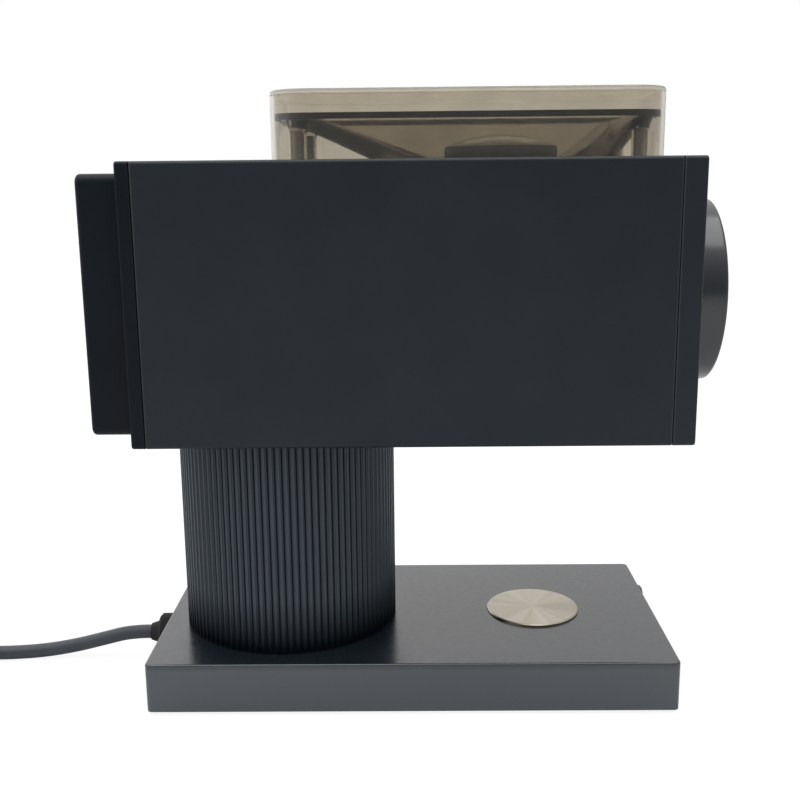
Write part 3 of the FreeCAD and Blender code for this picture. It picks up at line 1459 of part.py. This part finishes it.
def build_spring():
    """Return spring between the rear bush and the rotor."""
    wire = d.spring_wire.value
    start = x_motor_rear + d.bush_length
    room = x_stator_rear - d.rotor_ring - start
    turns = int(d.spring_turns.value)
    rise = (room.value - 2 * wire) / turns
    radius = d.spring_radius.value
    slope = rise / (2 * math.pi)

    def at(angle):
        point = V(start.value + wire + slope * angle, radius * math.cos(angle),
                  z_shaft.value + radius * math.sin(angle))
        return point, V(slope, -radius * math.sin(angle), radius * math.cos(angle)).normalize()

    knots = [at(quarter * math.pi / 2) for quarter in range(4 * turns + 1)]
    edges = []
    for (point, heading), (following, next_heading) in zip(knots, knots[1:]):
        edges += biarc(point, heading, following, next_heading)
    _, path = tube("return_spring", edges, wire)
    print(f"return_spring: least gap to itself {least_gap(path, 2 * wire):.2f}")


def build_cord():
    """Strain relief, the free cord on the table, its put-away coil with tie, and the plug."""
    x_tip = x_base_rear - d.gland_flange - d.gland_length
    inside = d.gland_inner
    sleeve = d.cord_radius + d.gland_sleeve
    seat = inside + d.base_wall
    face = seat + d.gland_flange
    turned("strain_relief", [
        (0, 0), (0, sleeve), (inside, sleeve), (inside, d.gland_barrel_radius),
        (seat, d.gland_barrel_radius), (seat, d.gland_flange_radius),
        (face - d.gland_bevel, d.gland_flange_radius), (face, d.gland_flange_radius - d.gland_bevel),
        (face, d.gland_barrel_radius), (face + d.gland_length, d.gland_tip_radius),
        (face + d.gland_length, 0)], x_base_rear + seat, 0, z_cord, HALF_TURN)

    # Run behind the relief's tip, sideways, and height of the cord's underside over the table
    radius = d.cord_radius.value
    exit_height = z_cord.value - radius
    lift = d.coil_lift.value
    low_layer = radius + lift
    laid = [(0, 0, exit_height), (9.35, 0, exit_height), (21.35, -0.2, 5.4), (34.35, -0.4, 2.2),
            (48.35, -1.0, 0.1), (63.35, -3.0, 0), (79.35, -3.6, 0.4), (95.35, -3.4, lift),
            (107.35, -3.4, lift)]
    route = [V(x_tip.value - run, side, radius + height) for run, side, height in laid]
    tube("power_cord", rounded_route(route), radius)

    entry = route[-1]
    straight = 2 * radius
    outer = d.coil_radius.value
    pitch = 2 * radius + d.coil_gap.value
    turns = int(d.coil_turns.value)
    centre = entry + V(-straight, -outer, 0)
    inner = outer - pitch * turns
    quarters_in = 4 * turns
    quarters_climb = 2
    quarters_out = quarters_in - 2

    def coil_knot(quarter):
        angle = math.pi / 2 * (1 + quarter)
        out = quarter - quarters_in - quarters_climb
        if quarter <= quarters_in:
            reach, height = outer - pitch * quarter / 4, low_layer
        elif out < 0:
            reach, height = inner - pitch / 4, low_layer + pitch / 2
        else:
            reach, height = inner + pitch * out / 4, low_layer + pitch
        return centre + V(reach * math.cos(angle), reach * math.sin(angle), height - entry.z)

    last = quarters_in + quarters_climb + quarters_out
    knots = [coil_knot(quarter) for quarter in range(last + 1)]
    headings = []
    for quarter in range(last + 1):
        angle = math.pi / 2 * (1 + quarter)
        climb = pitch / (math.pi * inner) * (1.5 if quarter == quarters_in + 1 else 0)
        headings.append(V(-math.sin(angle), math.cos(angle), climb).normalize())
    edges = [Part.LineSegment(entry, knots[0]).toShape()]
    for quarter in range(last):
        edges += biarc(knots[quarter], headings[quarter], knots[quarter + 1], headings[quarter + 1])
    plug_at = knots[-1] + V(-d.tail_length.value, 0, d.plug_radius.value - knots[-1].z)
    edges += biarc(knots[-1], headings[-1], plug_at, V(-1, 0, 0))
    plug_face = plug_at + V(-straight, 0, 0)
    edges.append(Part.LineSegment(plug_at, plug_face).toShape())
    _, path = tube("cord_coil", edges, radius)
    print(f"cord_coil: least gap to itself {least_gap(path, 2 * radius):.2f}")

    clear = d.tie_strap_clear.value
    strap = d.tie_strap.value
    bundle = 2 * radius + pitch + 2 * clear
    width = d.tie_strap_width.value
    middle = outer - 1.25 * pitch
    corner = centre + V(middle - bundle / 2, -width / 2, -radius - clear)
    hole = Part.makeBox(bundle, width, bundle, corner)
    band = Part.makeBox(bundle + 2 * strap, width, bundle + 2 * strap, corner - V(strap, 0, strap))
    tie = doc.addObject("Part::Feature", "cord_tie")
    tie.Shape = band.cut(hole)
    tie.Placement = FreeCAD.Placement()
    keep("cord_tie", tie)

    neck, body = d.plug_neck, d.plug_body
    shoulder = neck + d.plug_neck_radius
    plug = doc.addObject("PartDesign::Body", "plug_body")
    profile = sketch(plug, "XZ_Plane")
    polygon(profile, [(0, 0), (0, d.gland_tip_radius), (neck, d.plug_neck_radius),
                      (shoulder, d.plug_radius - d.plug_bevel), (shoulder + d.plug_bevel, d.plug_radius),
                      (neck + body, d.plug_radius), (neck + body, 0)])
    revolve(plug, profile)
    plug.Placement = FreeCAD.Placement(plug_face, HALF_TURN)
    pins = []
    for side in (-1, 1):
        pin = doc.addObject("Part::Cylinder", "pin")
        pin.setExpression("Radius", d.pin_radius.text)
        pin.setExpression("Height", d.pin_length.text)
        at = plug_face + V(-(neck + body).value, side * d.pin_spacing.value / 2, 0)
        pin.Placement = FreeCAD.Placement(at, AXIS_X_BACK)
        pins.append(pin)
    keep("mains_plug", fuse([plug] + pins))


for build in (build_base, build_controls, build_column, build_body, build_motor, build_drive,
              build_head, build_adjuster, build_hopper, build_spring, build_cord):
    build()
doc.recompute()

# Check every object, then write each sub-part
for obj in doc.Objects:
    if "Invalid" in obj.State or "Error" in obj.State:
        raise RuntimeError(f"{obj.Label} failed: {obj.State}")
for label, obj in nodes.items():
    if obj.Shape.isNull() or not obj.Shape.isValid() or not obj.Shape.Solids:
        raise RuntimeError(f"{label} has no valid solid")
os.makedirs("parts", exist_ok=True)
for label, obj in nodes.items():
    obj.Shape.exportStep(f"parts/{label}.step")
print(f"{len(nodes)} sub-parts written")
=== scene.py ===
import json
import math

import bpy
from mathutils import Matrix, Vector


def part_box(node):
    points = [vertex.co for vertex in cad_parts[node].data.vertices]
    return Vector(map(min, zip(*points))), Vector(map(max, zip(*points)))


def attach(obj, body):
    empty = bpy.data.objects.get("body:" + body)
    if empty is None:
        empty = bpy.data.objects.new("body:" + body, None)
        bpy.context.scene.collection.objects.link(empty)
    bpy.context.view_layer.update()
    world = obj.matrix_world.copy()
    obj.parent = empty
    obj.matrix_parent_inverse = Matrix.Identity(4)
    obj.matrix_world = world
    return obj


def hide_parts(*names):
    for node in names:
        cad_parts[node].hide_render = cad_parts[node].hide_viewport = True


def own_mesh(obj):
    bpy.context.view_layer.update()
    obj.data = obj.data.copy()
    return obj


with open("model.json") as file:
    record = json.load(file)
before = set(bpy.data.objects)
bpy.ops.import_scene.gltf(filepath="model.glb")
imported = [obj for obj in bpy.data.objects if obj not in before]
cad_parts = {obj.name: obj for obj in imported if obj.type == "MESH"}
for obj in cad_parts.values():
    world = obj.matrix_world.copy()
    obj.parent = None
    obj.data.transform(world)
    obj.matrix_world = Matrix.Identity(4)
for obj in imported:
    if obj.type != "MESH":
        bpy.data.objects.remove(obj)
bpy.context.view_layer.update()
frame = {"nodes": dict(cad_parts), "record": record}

nodes = frame["nodes"]
scene = bpy.context.scene
scene.view_settings.view_transform = "Standard"


# Camera at the photograph's viewing angle, in metres, degrees and millimetres of lens
CAMERA_PLACE = (0.00086, -0.43325, 0.20747)
CAMERA_PITCH = 11.992
CAMERA_YAW = -0.693
CAMERA_ROLL = -0.586
CAMERA_LENS = 47.276
CAMERA_SENSOR = 36


def place_camera():
    """The scene's camera, tilted down by its pitch, turned by its yaw and leaned by its roll."""
    pitch = math.radians(CAMERA_PITCH)
    yaw = math.radians(CAMERA_YAW)
    roll = math.radians(CAMERA_ROLL)
    level_reach = math.cos(pitch)
    ahead = Vector((math.sin(yaw) * level_reach, math.cos(yaw) * level_reach, -math.sin(pitch)))
    level = Vector((math.cos(yaw), -math.sin(yaw), 0))
    above = level.cross(ahead)
    across = level * math.cos(roll) + above * math.sin(roll)
    upward = above * math.cos(roll) - level * math.sin(roll)
    data = bpy.data.cameras.new("camera")
    data.sensor_width = CAMERA_SENSOR
    data.lens = CAMERA_LENS
    camera = bpy.data.objects.new("camera", data)
    camera.matrix_world = Matrix((across, upward, -ahead)).transposed().to_4x4()
    camera.location = CAMERA_PLACE
    scene.collection.objects.link(camera)
    scene.camera = camera


place_camera()


# Mains cord in metres: the free stretch, its put-away coil and the tail to the plug
CORD_DIAMETER = 0.006
CORD_LINE_STEPS = 8
CORD_ROUND_STEPS = 8
CORD_CURVE_ORDER = 3
ROUTE = [(-0.11515, 0, 0.0115), (-0.1245, 0, 0.0115), (-0.1365, -0.0002, 0.0084),
         (-0.1495, -0.0004, 0.0052), (-0.1635, -0.0010, 0.0031), (-0.1785, -0.0030, 0.0030),
         (-0.1945, -0.0036, 0.0034), (-0.2105, -0.0034, 0.0046), (-0.2225, -0.0034, 0.0046)]
COIL_CENTRE = Vector((-0.2285, -0.0454, 0))
COIL_RADIUS = 0.042
COIL_PITCH = 0.0066
COIL_LOW = 0.0046
COIL_TURNS_IN = 2.0
COIL_TURNS_CLIMB = 0.5
COIL_TURNS_OUT = 1.5
COIL_STEPS = 16
TAIL = [Vector((-0.010, 0, 0.0004)), Vector((-0.020, 0, 0.0069))]
PLUG_FACE = Vector((-0.2645, -0.0067, 0.0185))
PLUG_LEAD = Vector((0.006, 0, 0))


def coil_points():
    """Turns wound inwards on the table, a climb, and turns wound outwards on top of them."""
    inner = COIL_RADIUS - COIL_PITCH * COIL_TURNS_IN
    climbed = COIL_TURNS_IN + COIL_TURNS_CLIMB
    points = []
    for step in range(int((climbed + COIL_TURNS_OUT) * COIL_STEPS) + 1):
        turn = step / COIL_STEPS
        if turn <= COIL_TURNS_IN:
            radius, height = COIL_RADIUS - COIL_PITCH * turn, COIL_LOW
        elif turn < climbed:
            share = (turn - COIL_TURNS_IN) / COIL_TURNS_CLIMB
            dip = COIL_PITCH / 4 * (1 - abs(2 * share - 1))
            radius, height = inner - dip, COIL_LOW + COIL_PITCH * share
        else:
            radius, height = inner + COIL_PITCH * (turn - climbed), COIL_LOW + COIL_PITCH
        angle = math.tau * turn + math.pi / 2
        spoke = Vector((radius * math.cos(angle), radius * math.sin(angle), height))
        points.append(COIL_CENTRE + spoke)
    return points


def make_cord():
    """A tube along the smooth line that the route's points draw."""
    coil = coil_points()
    tail = [coil[-1] + step for step in TAIL] + [PLUG_FACE + PLUG_LEAD, PLUG_FACE]
    route = [Vector(point) for point in ROUTE] + coil + tail
    data = bpy.data.curves.new("cord_line", "CURVE")
    data.dimensions = "3D"
    data.resolution_u = CORD_LINE_STEPS
    spline = data.splines.new("NURBS")
    spline.points.add(len(route) - 1)
    for point, place in zip(spline.points, route):
        point.co = (*place, 1)
    spline.order_u = CORD_CURVE_ORDER
    spline.use_endpoint_u = True
    line = bpy.data.objects.new("cord_line", data)
    path = [vertex.co.copy() for vertex in bpy.data.meshes.new_from_object(line).vertices]
    data.bevel_depth = CORD_DIAMETER / 2
    data.bevel_resolution = CORD_ROUND_STEPS
    data.use_fill_caps = True
    tube = bpy.data.meshes.new_from_object(line)
    tube.shade_smooth()
    bpy.data.objects.remove(line)
    made = bpy.data.objects.new("mains_cord", tube)
    scene.collection.objects.link(made)
    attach(made, "stand")
    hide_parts("power_cord", "cord_coil")
    return made


cord = make_cord()


# Return spring inside the motor
def make_spring():
    """The spring's coil on a mesh of its own; the real coil shortens as the dial pushes the rotor
    back.
    """
    made = bpy.data.objects.new("return_spring_coil", nodes["return_spring"].data.copy())
    scene.collection.objects.link(made)
    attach(made, "stand")
    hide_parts("return_spring")
    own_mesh(made)
    return made


spring = make_spring()


# Shader nodes
MIX_FIRST, MIX_SECOND, MIX_RESULT = 6, 7, 2  # a Mix node's colour sockets
NOISE_LOW, NOISE_HIGH = 0.35, 0.65
ROUGH_SPREAD = 0.05


def new_material(name):
    """A material, its node tree and its main shader."""
    material = bpy.data.materials.new(name)
    material.use_nodes = True
    return material, material.node_tree, material.node_tree.nodes["Principled BSDF"]


def feed(tree, socket, value):
    """Links a socket from another one, or sets it to a constant."""
    if isinstance(value, bpy.types.NodeSocket):
        tree.links.new(value, socket)
    else:
        socket.default_value = value


def supply(tree, node, **inputs):
    """Feeds a node's inputs by name, with _ for a space."""
    for key, value in inputs.items():
        feed(tree, node.inputs[key.replace("_", " ")], value)


def add(tree, kind, settings=None, **inputs):
    """A shader node with its properties and inputs."""
    made = tree.nodes.new(kind)
    for key, value in (settings or {}).items():
        setattr(made, key, value)
    supply(tree, made, **inputs)
    return made


def number(tree, operation, first, second):
    """A number worked out from two others."""
    made = add(tree, "ShaderNodeMath", {"operation": operation})
    feed(tree, made.inputs[0], first)
    feed(tree, made.inputs[1], second)
    return made.outputs["Value"]


def vector(tree, operation, first, second=(0, 0, 0), output="Vector"):
    """A vector worked out from others, or the number that comes of them."""
    made = add(tree, "ShaderNodeVectorMath", {"operation": operation})
    feed(tree, made.inputs[0], first)
    feed(tree, made.inputs[1], second)
    return made.outputs[output]


def part_of(tree, of, axis):
    """A vector's part along an axis."""
    return add(tree, "ShaderNodeSeparateXYZ", Vector=of).outputs[axis]


def place_of(tree):
    """Where a point of the surface is on the object, in metres."""
    return add(tree, "ShaderNodeTexCoord").outputs["Object"]


def noise(tree, at, size, detail=2.0):
    """Cloudy change with cells of about this size in metres."""
    return add(tree, "ShaderNodeTexNoise", Vector=at, Scale=1 / size, Detail=detail).outputs["Fac"]


def ramp(tree, value, low, high, from_low=NOISE_LOW, from_high=NOISE_HIGH):
    """A number from low to high as the value goes through a range, by default a noise's."""
    return add(tree, "ShaderNodeMapRange", Value=value, From_Min=from_low, From_Max=from_high,
               To_Min=low, To_Max=high).outputs["Result"]


def blend(tree, value, first, second):
    """A colour between two colours."""
    made = add(tree, "ShaderNodeMix", {"data_type": "RGBA"}, Factor=value)
    for index, colour in ((MIX_FIRST, first), (MIX_SECOND, second)):
        linked = isinstance(colour, bpy.types.NodeSocket)
        feed(tree, made.inputs[index], colour if linked else (*colour, 1))
    return made.outputs[MIX_RESULT]


def bump(tree, height, depth, strength=1.0, under=None):
    """A normal bent by a height, over a normal that is already bent or not."""
    made = add(tree, "ShaderNodeBump", Height=height, Distance=depth, Strength=strength)
    if under:
        feed(tree, made.inputs["Normal"], under)
    return made.outputs["Normal"]


def show_mixed(tree, share, first, second):
    """The material's surface is a mix of two shaders, with this share of the second."""
    both = add(tree, "ShaderNodeMixShader", Fac=share)
    feed(tree, both.inputs[1], first.outputs[0])
    feed(tree, both.inputs[2], second.outputs[0])
    feed(tree, tree.nodes["Material Output"].inputs["Surface"], both.outputs[0])


# Kinds of finish
CLOUD_DETAIL = 4.0
SIDE_LIGHT_FADE = 0.003
EDGE_RADIUS = 0.0010
EDGE_SAMPLES = 6
EDGE_FROM, EDGE_TO = 0.75, 0.98


def surface(name, dark, light, rough, metal=0.0, specular=0.5, cloud=0.03, grain=0.0006,
            depth=0.00003, painted_edge_highlight=None, painted_side_light=None):
    """A finish with a cloudy tone and a fine grain.

    Edges get a painted highlight colour, and faces under a height a painted lighter colour of
    light falling on them.
    """
    material, tree, shader = new_material(name)
    at = place_of(tree)
    fine = noise(tree, at, grain)
    tone = ramp(tree, noise(tree, at, cloud, CLOUD_DETAIL), 0, 1)
    colour = blend(tree, tone, dark, light)
    eased = None
    # Painted light: the faces under a height get a lighter colour of their own, for the light that
    # falls on them.
    if painted_side_light:
        top, side_light_colour = painted_side_light
        side_light_mask = ramp(tree, part_of(tree, at, "Z"), 1, 0, top - SIDE_LIGHT_FADE, top)
        colour = blend(tree, side_light_mask, colour, side_light_colour)
    # Painted highlight: a lighter colour along rounded edges, where they catch light.
    if painted_edge_highlight:
        eased = add(tree, "ShaderNodeBevel", {"samples": EDGE_SAMPLES},
                    Radius=EDGE_RADIUS).outputs["Normal"]
        straight = add(tree, "ShaderNodeNewGeometry").outputs["Normal"]
        alike = vector(tree, "DOT_PRODUCT", eased, straight, "Value")
        colour = blend(tree, ramp(tree, alike, 1, 0, EDGE_FROM, EDGE_TO), colour, painted_edge_highlight)
    supply(tree, shader, Base_Color=colour, Metallic=metal, Specular_IOR_Level=specular,
           Roughness=ramp(tree, fine, rough - ROUGH_SPREAD, rough + ROUGH_SPREAD),
           Normal=bump(tree, fine, depth, under=eased))
    return material


RING_SIZE = 0.003
RING_DEPTH = 0.00001
RING_STRENGTH = 0.4
FAN_HIGHLIGHT_WIDTH = 0.45
FAN_HIGHLIGHT_DETAIL = 3.0


def turned(name, dark, light, rough, centre):
    """Metal turned on a lathe: fine rings round an upright axis, and a painted fan of highlights
    on them.
    """
    material, tree, shader = new_material(name)
    at = vector(tree, "SUBTRACT", place_of(tree), centre)
    rings = add(tree, "ShaderNodeTexWave", {"wave_type": "RINGS", "rings_direction": "Z"},
                Vector=at, Scale=1 / RING_SIZE, Distortion=0.6, Detail=2.0).outputs["Fac"]
    # Painted highlight: the colour goes lighter and darker by bearing round the centre, as a fan
    # of light.
    bearing = vector(tree, "NORMALIZE", vector(tree, "MULTIPLY", at, (1, 1, 0)))
    tone = ramp(tree, noise(tree, bearing, FAN_HIGHLIGHT_WIDTH, FAN_HIGHLIGHT_DETAIL), 0, 1)
    around = add(tree, "ShaderNodeTangent", {"direction_type": "RADIAL", "axis": "Z"})
    supply(tree, shader, Base_Color=blend(tree, tone, dark, light), Metallic=1.0, Anisotropic=0.7,
           Roughness=ramp(tree, rings, rough - ROUGH_SPREAD, rough + ROUGH_SPREAD, 0, 1),
           Normal=bump(tree, rings, RING_DEPTH, RING_STRENGTH), Tangent=around.outputs["Tangent"])
    return material


FOOT_SHADE_FROM, FOOT_SHADE_TO = 0.002, 0.022
FLUTE_GRAIN = 0.0005
FLUTE_DEPTH = 0.00001
VALLEY_SHINE, CREST_SHINE = 0.02, 0.14


def ribbed(name, valley, crest, rough, centre, inside, outside, foot):
    """The column's coat: painted shade in the flutes and at the foot, and a painted highlight on
    the crests, which also get a higher specular level.
    """
    material, tree, shader = new_material(name)
    at = place_of(tree)
    fine = noise(tree, at, FLUTE_GRAIN)
    level = vector(tree, "MULTIPLY", at, (1, 1, 0))
    reach = vector(tree, "DISTANCE", level, centre, "Value")
    # Painted shade: the crest highlight fades to the dark flute colour towards the foot.
    foot_shade_fade = ramp(tree, part_of(tree, at, "Z"), 0, 1, foot + FOOT_SHADE_FROM, foot + FOOT_SHADE_TO)
    painted_crest_light = number(tree, "MULTIPLY", ramp(tree, reach, 0, 1, inside, outside), foot_shade_fade)
    supply(tree, shader, Base_Color=blend(tree, painted_crest_light, valley, crest),
           Roughness=ramp(tree, fine, rough - ROUGH_SPREAD, rough + ROUGH_SPREAD),
           Normal=bump(tree, fine, FLUTE_DEPTH),
           Specular_IOR_Level=ramp(tree, painted_crest_light, VALLEY_SHINE, CREST_SHINE, 0, 1))
    return material


ACRYLIC_IOR = 1.49
FLOW_SIZE = 0.012
FLOW_DETAIL = 3.0
FLOW_DEPTH = 0.00006
SMEAR_SIZE = 0.004
SMEAR_LOW, SMEAR_HIGH = 0.6, 1.4
STREAK_SIZE = 0.003
STREAK_STRETCH = (0.12, 1, 1)
STREAK_LOW, STREAK_HIGH = 0.95, 1.05
HAZE_DARK, HAZE_LIGHT = (0.90, 0.86, 0.77), (0.96, 0.92, 0.83)
HAZE_FADE = 0.0002


def smoked(name, dark, light, rough, haze_from, haze):
    """Clear plastic with a smoky tint, faint flow marks and a top that handling has left hazy."""
    material, tree, shader = new_material(name)
    at = place_of(tree)
    flow = noise(tree, at, FLOW_SIZE, FLOW_DETAIL)
    tone = ramp(tree, flow, 0, 1)
    smears = ramp(tree, noise(tree, at, SMEAR_SIZE), rough * SMEAR_LOW, rough * SMEAR_HIGH)
    supply(tree, shader, Base_Color=blend(tree, tone, dark, light), Roughness=smears,
           Normal=bump(tree, flow, FLOW_DEPTH), Transmission_Weight=1.0, IOR=ACRYLIC_IOR)
    drawn = vector(tree, "MULTIPLY", at, STREAK_STRETCH)
    streaks = ramp(tree, noise(tree, drawn, STREAK_SIZE, FLOW_DETAIL),
                   haze * STREAK_LOW, haze * STREAK_HIGH)
    milky = add(tree, "ShaderNodeBsdfTranslucent", Color=blend(tree, tone, HAZE_DARK, HAZE_LIGHT))
    share = ramp(tree, part_of(tree, at, "Z"), 0.0, streaks, haze_from, haze_from + HAZE_FADE)
    show_mixed(tree, share, shader, milky)
    return material


# Finishes by material slot
HAZE_DEPTH = 0.0022
VALLEY_INSET, CREST_INSET = 0.00079, 0.00066

column_low, column_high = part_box("column_sleeve")
column_centre = ((column_low.x + column_high.x) / 2, 0, 0)
column_radius = (column_high.x - column_low.x) / 2
disc_low, disc_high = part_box("cup_disc")
disc_centre = ((disc_low.x + disc_high.x) / 2, 0, disc_high.z)
hopper_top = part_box("hopper_cover")[1].z
base_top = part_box("base_casting")[1].z

SURFACES = {
    # Body and rear paint get a lighter painted highlight colour on their edges.
    "body_paint": dict(dark=(0.0115, 0.0165, 0.0235), light=(0.0145, 0.0203, 0.0282), rough=0.36,
                       specular=0.27, depth=0.000014, painted_edge_highlight=(0.080, 0.090, 0.100)),
    "rear_paint": dict(dark=(0.0046, 0.0074, 0.0112), light=(0.0064, 0.0094, 0.0138), rough=0.36,
                       specular=0.13, depth=0.00002, painted_edge_highlight=(0.020, 0.025, 0.031)),
    # The base paint's faces under its top get a lighter painted colour, for the light falling on
    # them.
    "base_paint": dict(dark=(0.013, 0.018, 0.024), light=(0.016, 0.022, 0.029), rough=0.22,
                       specular=0.92, cloud=0.06, grain=0.002, depth=0.000001,
                       painted_side_light=(base_top, (0.060, 0.073, 0.086))),
    "dial_paint": dict(dark=(0.0045, 0.0100, 0.0170), light=(0.0060, 0.0125, 0.0200), rough=0.20,
                       specular=0.85, depth=0.000004),
    "dial_face": dict(dark=(0.016, 0.018, 0.020), light=(0.020, 0.022, 0.024), rough=0.5),
    "dark_plastic": dict(dark=(0.052, 0.063, 0.075), light=(0.062, 0.074, 0.087), rough=0.5),
    "rubber": dict(dark=(0.014, 0.014, 0.014), light=(0.02, 0.02, 0.02), rough=0.75,
                   specular=0.3),
    "cord_rubber": dict(dark=(0.056, 0.065, 0.077), light=(0.068, 0.079, 0.092), rough=0.42,
                        specular=0.4, cloud=0.012),
    "cast_alloy": dict(dark=(0.52, 0.53, 0.54), light=(0.62, 0.63, 0.64), rough=0.5, metal=1.0,
                       grain=0.0009, depth=0.00006),
    "steel": dict(dark=(0.46, 0.46, 0.47), light=(0.55, 0.55, 0.56), rough=0.3, metal=1.0,
                  grain=0.0004),
    "black_steel": dict(dark=(0.010, 0.010, 0.012), light=(0.016, 0.016, 0.018), rough=0.4,
                        metal=0.4),
    "lamination": dict(dark=(0.2, 0.2, 0.21), light=(0.28, 0.28, 0.29), rough=0.5, metal=1.0),
    "copper": dict(dark=(0.5, 0.22, 0.09), light=(0.62, 0.3, 0.13), rough=0.35, metal=1.0,
                   grain=0.0008, depth=0.0001),
    "brass": dict(dark=(0.62, 0.45, 0.2), light=(0.72, 0.54, 0.26), rough=0.3, metal=1.0),
    "magnet": dict(dark=(0.07, 0.07, 0.08), light=(0.1, 0.1, 0.11), rough=0.4, metal=1.0),
    "board": dict(dark=(0.012, 0.1, 0.04), light=(0.02, 0.14, 0.06), rough=0.4, cloud=0.006),
    "capacitor": dict(dark=(0.62, 0.62, 0.6), light=(0.7, 0.7, 0.68), rough=0.45),
    "loom": dict(dark=(0.02, 0.02, 0.024), light=(0.035, 0.035, 0.04), rough=0.6, grain=0.001,
                 depth=0.0001),
    "plug_plastic": dict(dark=(0.014, 0.014, 0.016), light=(0.02, 0.02, 0.022), rough=0.5),
}

FINISHES = {slot: surface(slot, **look) for slot, look in SURFACES.items()}
# The column's valley colour is painted shade and its crest colour a painted highlight.
FINISHES["column_paint"] = ribbed(
    "column_paint", valley=(0.0050, 0.0075, 0.0105), crest=(0.066, 0.081, 0.096), rough=0.42,
    centre=column_centre, inside=column_radius - VALLEY_INSET,
    outside=column_radius - CREST_INSET, foot=column_low.z)
FINISHES["disc_steel"] = turned(
    "disc_steel", dark=(0.36, 0.325, 0.26), light=(0.46, 0.425, 0.36), rough=0.32,
    centre=disc_centre)
FINISHES["smoke_plastic"] = smoked(
    "smoke_plastic", dark=(0.585, 0.552, 0.487), light=(0.625, 0.590, 0.520), rough=0.05,
    haze_from=hopper_top - HAZE_DEPTH, haze=0.38)


def dress(piece, slot):
    """Gives a piece the finish of a material slot."""
    piece.data.materials.clear()
    piece.data.materials.append(FINISHES[slot])


for subpart in frame["record"]["subparts"]:
    dress(nodes[subpart["node"]], subpart["material_slot"])
dress(cord, "cord_rubber")
dress(spring, "steel")


# Floor, world and lamp
FLOOR_REACH = 6.0
FLOOR_COLOUR = (0.9, 0.9, 0.9, 1)
FLOOR_GLOW = 1.18
FLOOR_GLOW_SHARE = 0.75
LIGHT_FROM = (-0.80, 0.0, 0.60)
LIGHT_LEAN = 0.7
LIGHT_LEVEL = 0.60
FRONT_DIM = 0.7
FRONT_FROM, FRONT_TO = -1, -0.4
LAMP_PLACE = Vector((0.0, -0.15, 1.3))
LAMP_TARGET = Vector((0, 0, 0.1))
LAMP_SIZE = (1.2, 1.0)
LAMP_POWER = 7.0


def make_floor():
    """A white floor: the camera sees it lit evenly, under a soft shadow of the object."""
    reach = FLOOR_REACH
    corners = [(-reach, -reach, 0), (reach, -reach, 0), (reach, reach, 0), (-reach, reach, 0)]
    data = bpy.data.meshes.new("floor")
    data.from_pydata(corners, [], [(0, 1, 2, 3)])
    floor = bpy.data.objects.new("floor", data)
    scene.collection.objects.link(floor)
    material, tree, shader = new_material("floor")
    supply(tree, shader, Base_Color=FLOOR_COLOUR, Roughness=1.0, Specular_IOR_Level=0.0)
    white = add(tree, "ShaderNodeEmission", Strength=FLOOR_GLOW)
    seen = add(tree, "ShaderNodeLightPath").outputs["Is Camera Ray"]
    show_mixed(tree, ramp(tree, seen, 0.0, FLOOR_GLOW_SHARE, 0, 1), shader, white)
    data.materials.append(material)


def make_world():
    """Soft light, more from the upper left and less from in front, and white where it is seen."""
    world = bpy.data.worlds.new("studio")
    world.use_nodes = True
    scene.world = world
    tree = world.node_tree
    paths = add(tree, "ShaderNodeLightPath").outputs
    bearing = add(tree, "ShaderNodeTexCoord").outputs["Generated"]
    toward = vector(tree, "DOT_PRODUCT", bearing, LIGHT_FROM, "Value")
    leaning = ramp(tree, toward, 1 - LIGHT_LEAN, 1 + LIGHT_LEAN, -1, 1)
    level = ramp(tree, paths["Is Glossy Ray"], LIGHT_LEVEL, 1.0, 0, 1)
    front = ramp(tree, part_of(tree, bearing, "Y"), 1 - FRONT_DIM, 1.0, FRONT_FROM, FRONT_TO)
    lit = number(tree, "MULTIPLY", number(tree, "MULTIPLY", leaning, level), front)
    seen = number(tree, "MAXIMUM", paths["Is Camera Ray"], paths["Is Transmission Ray"])
    supply(tree, tree.nodes["Background"], Color=(1, 1, 1, 1),
           Strength=ramp(tree, seen, lit, 1.0, 0, 1))


def make_lamp():
    """A large soft lamp over the object."""
    data = bpy.data.lights.new("overhead", "AREA")
    data.shape = "RECTANGLE"
    data.size, data.size_y = LAMP_SIZE
    data.energy = LAMP_POWER
    made = bpy.data.objects.new("overhead", data)
    made.location = LAMP_PLACE
    made.rotation_mode = "QUATERNION"
    made.rotation_quaternion = (LAMP_TARGET - LAMP_PLACE).to_track_quat("-Z", "Y")
    scene.collection.objects.link(made)


make_floor()
make_world()
make_lamp()
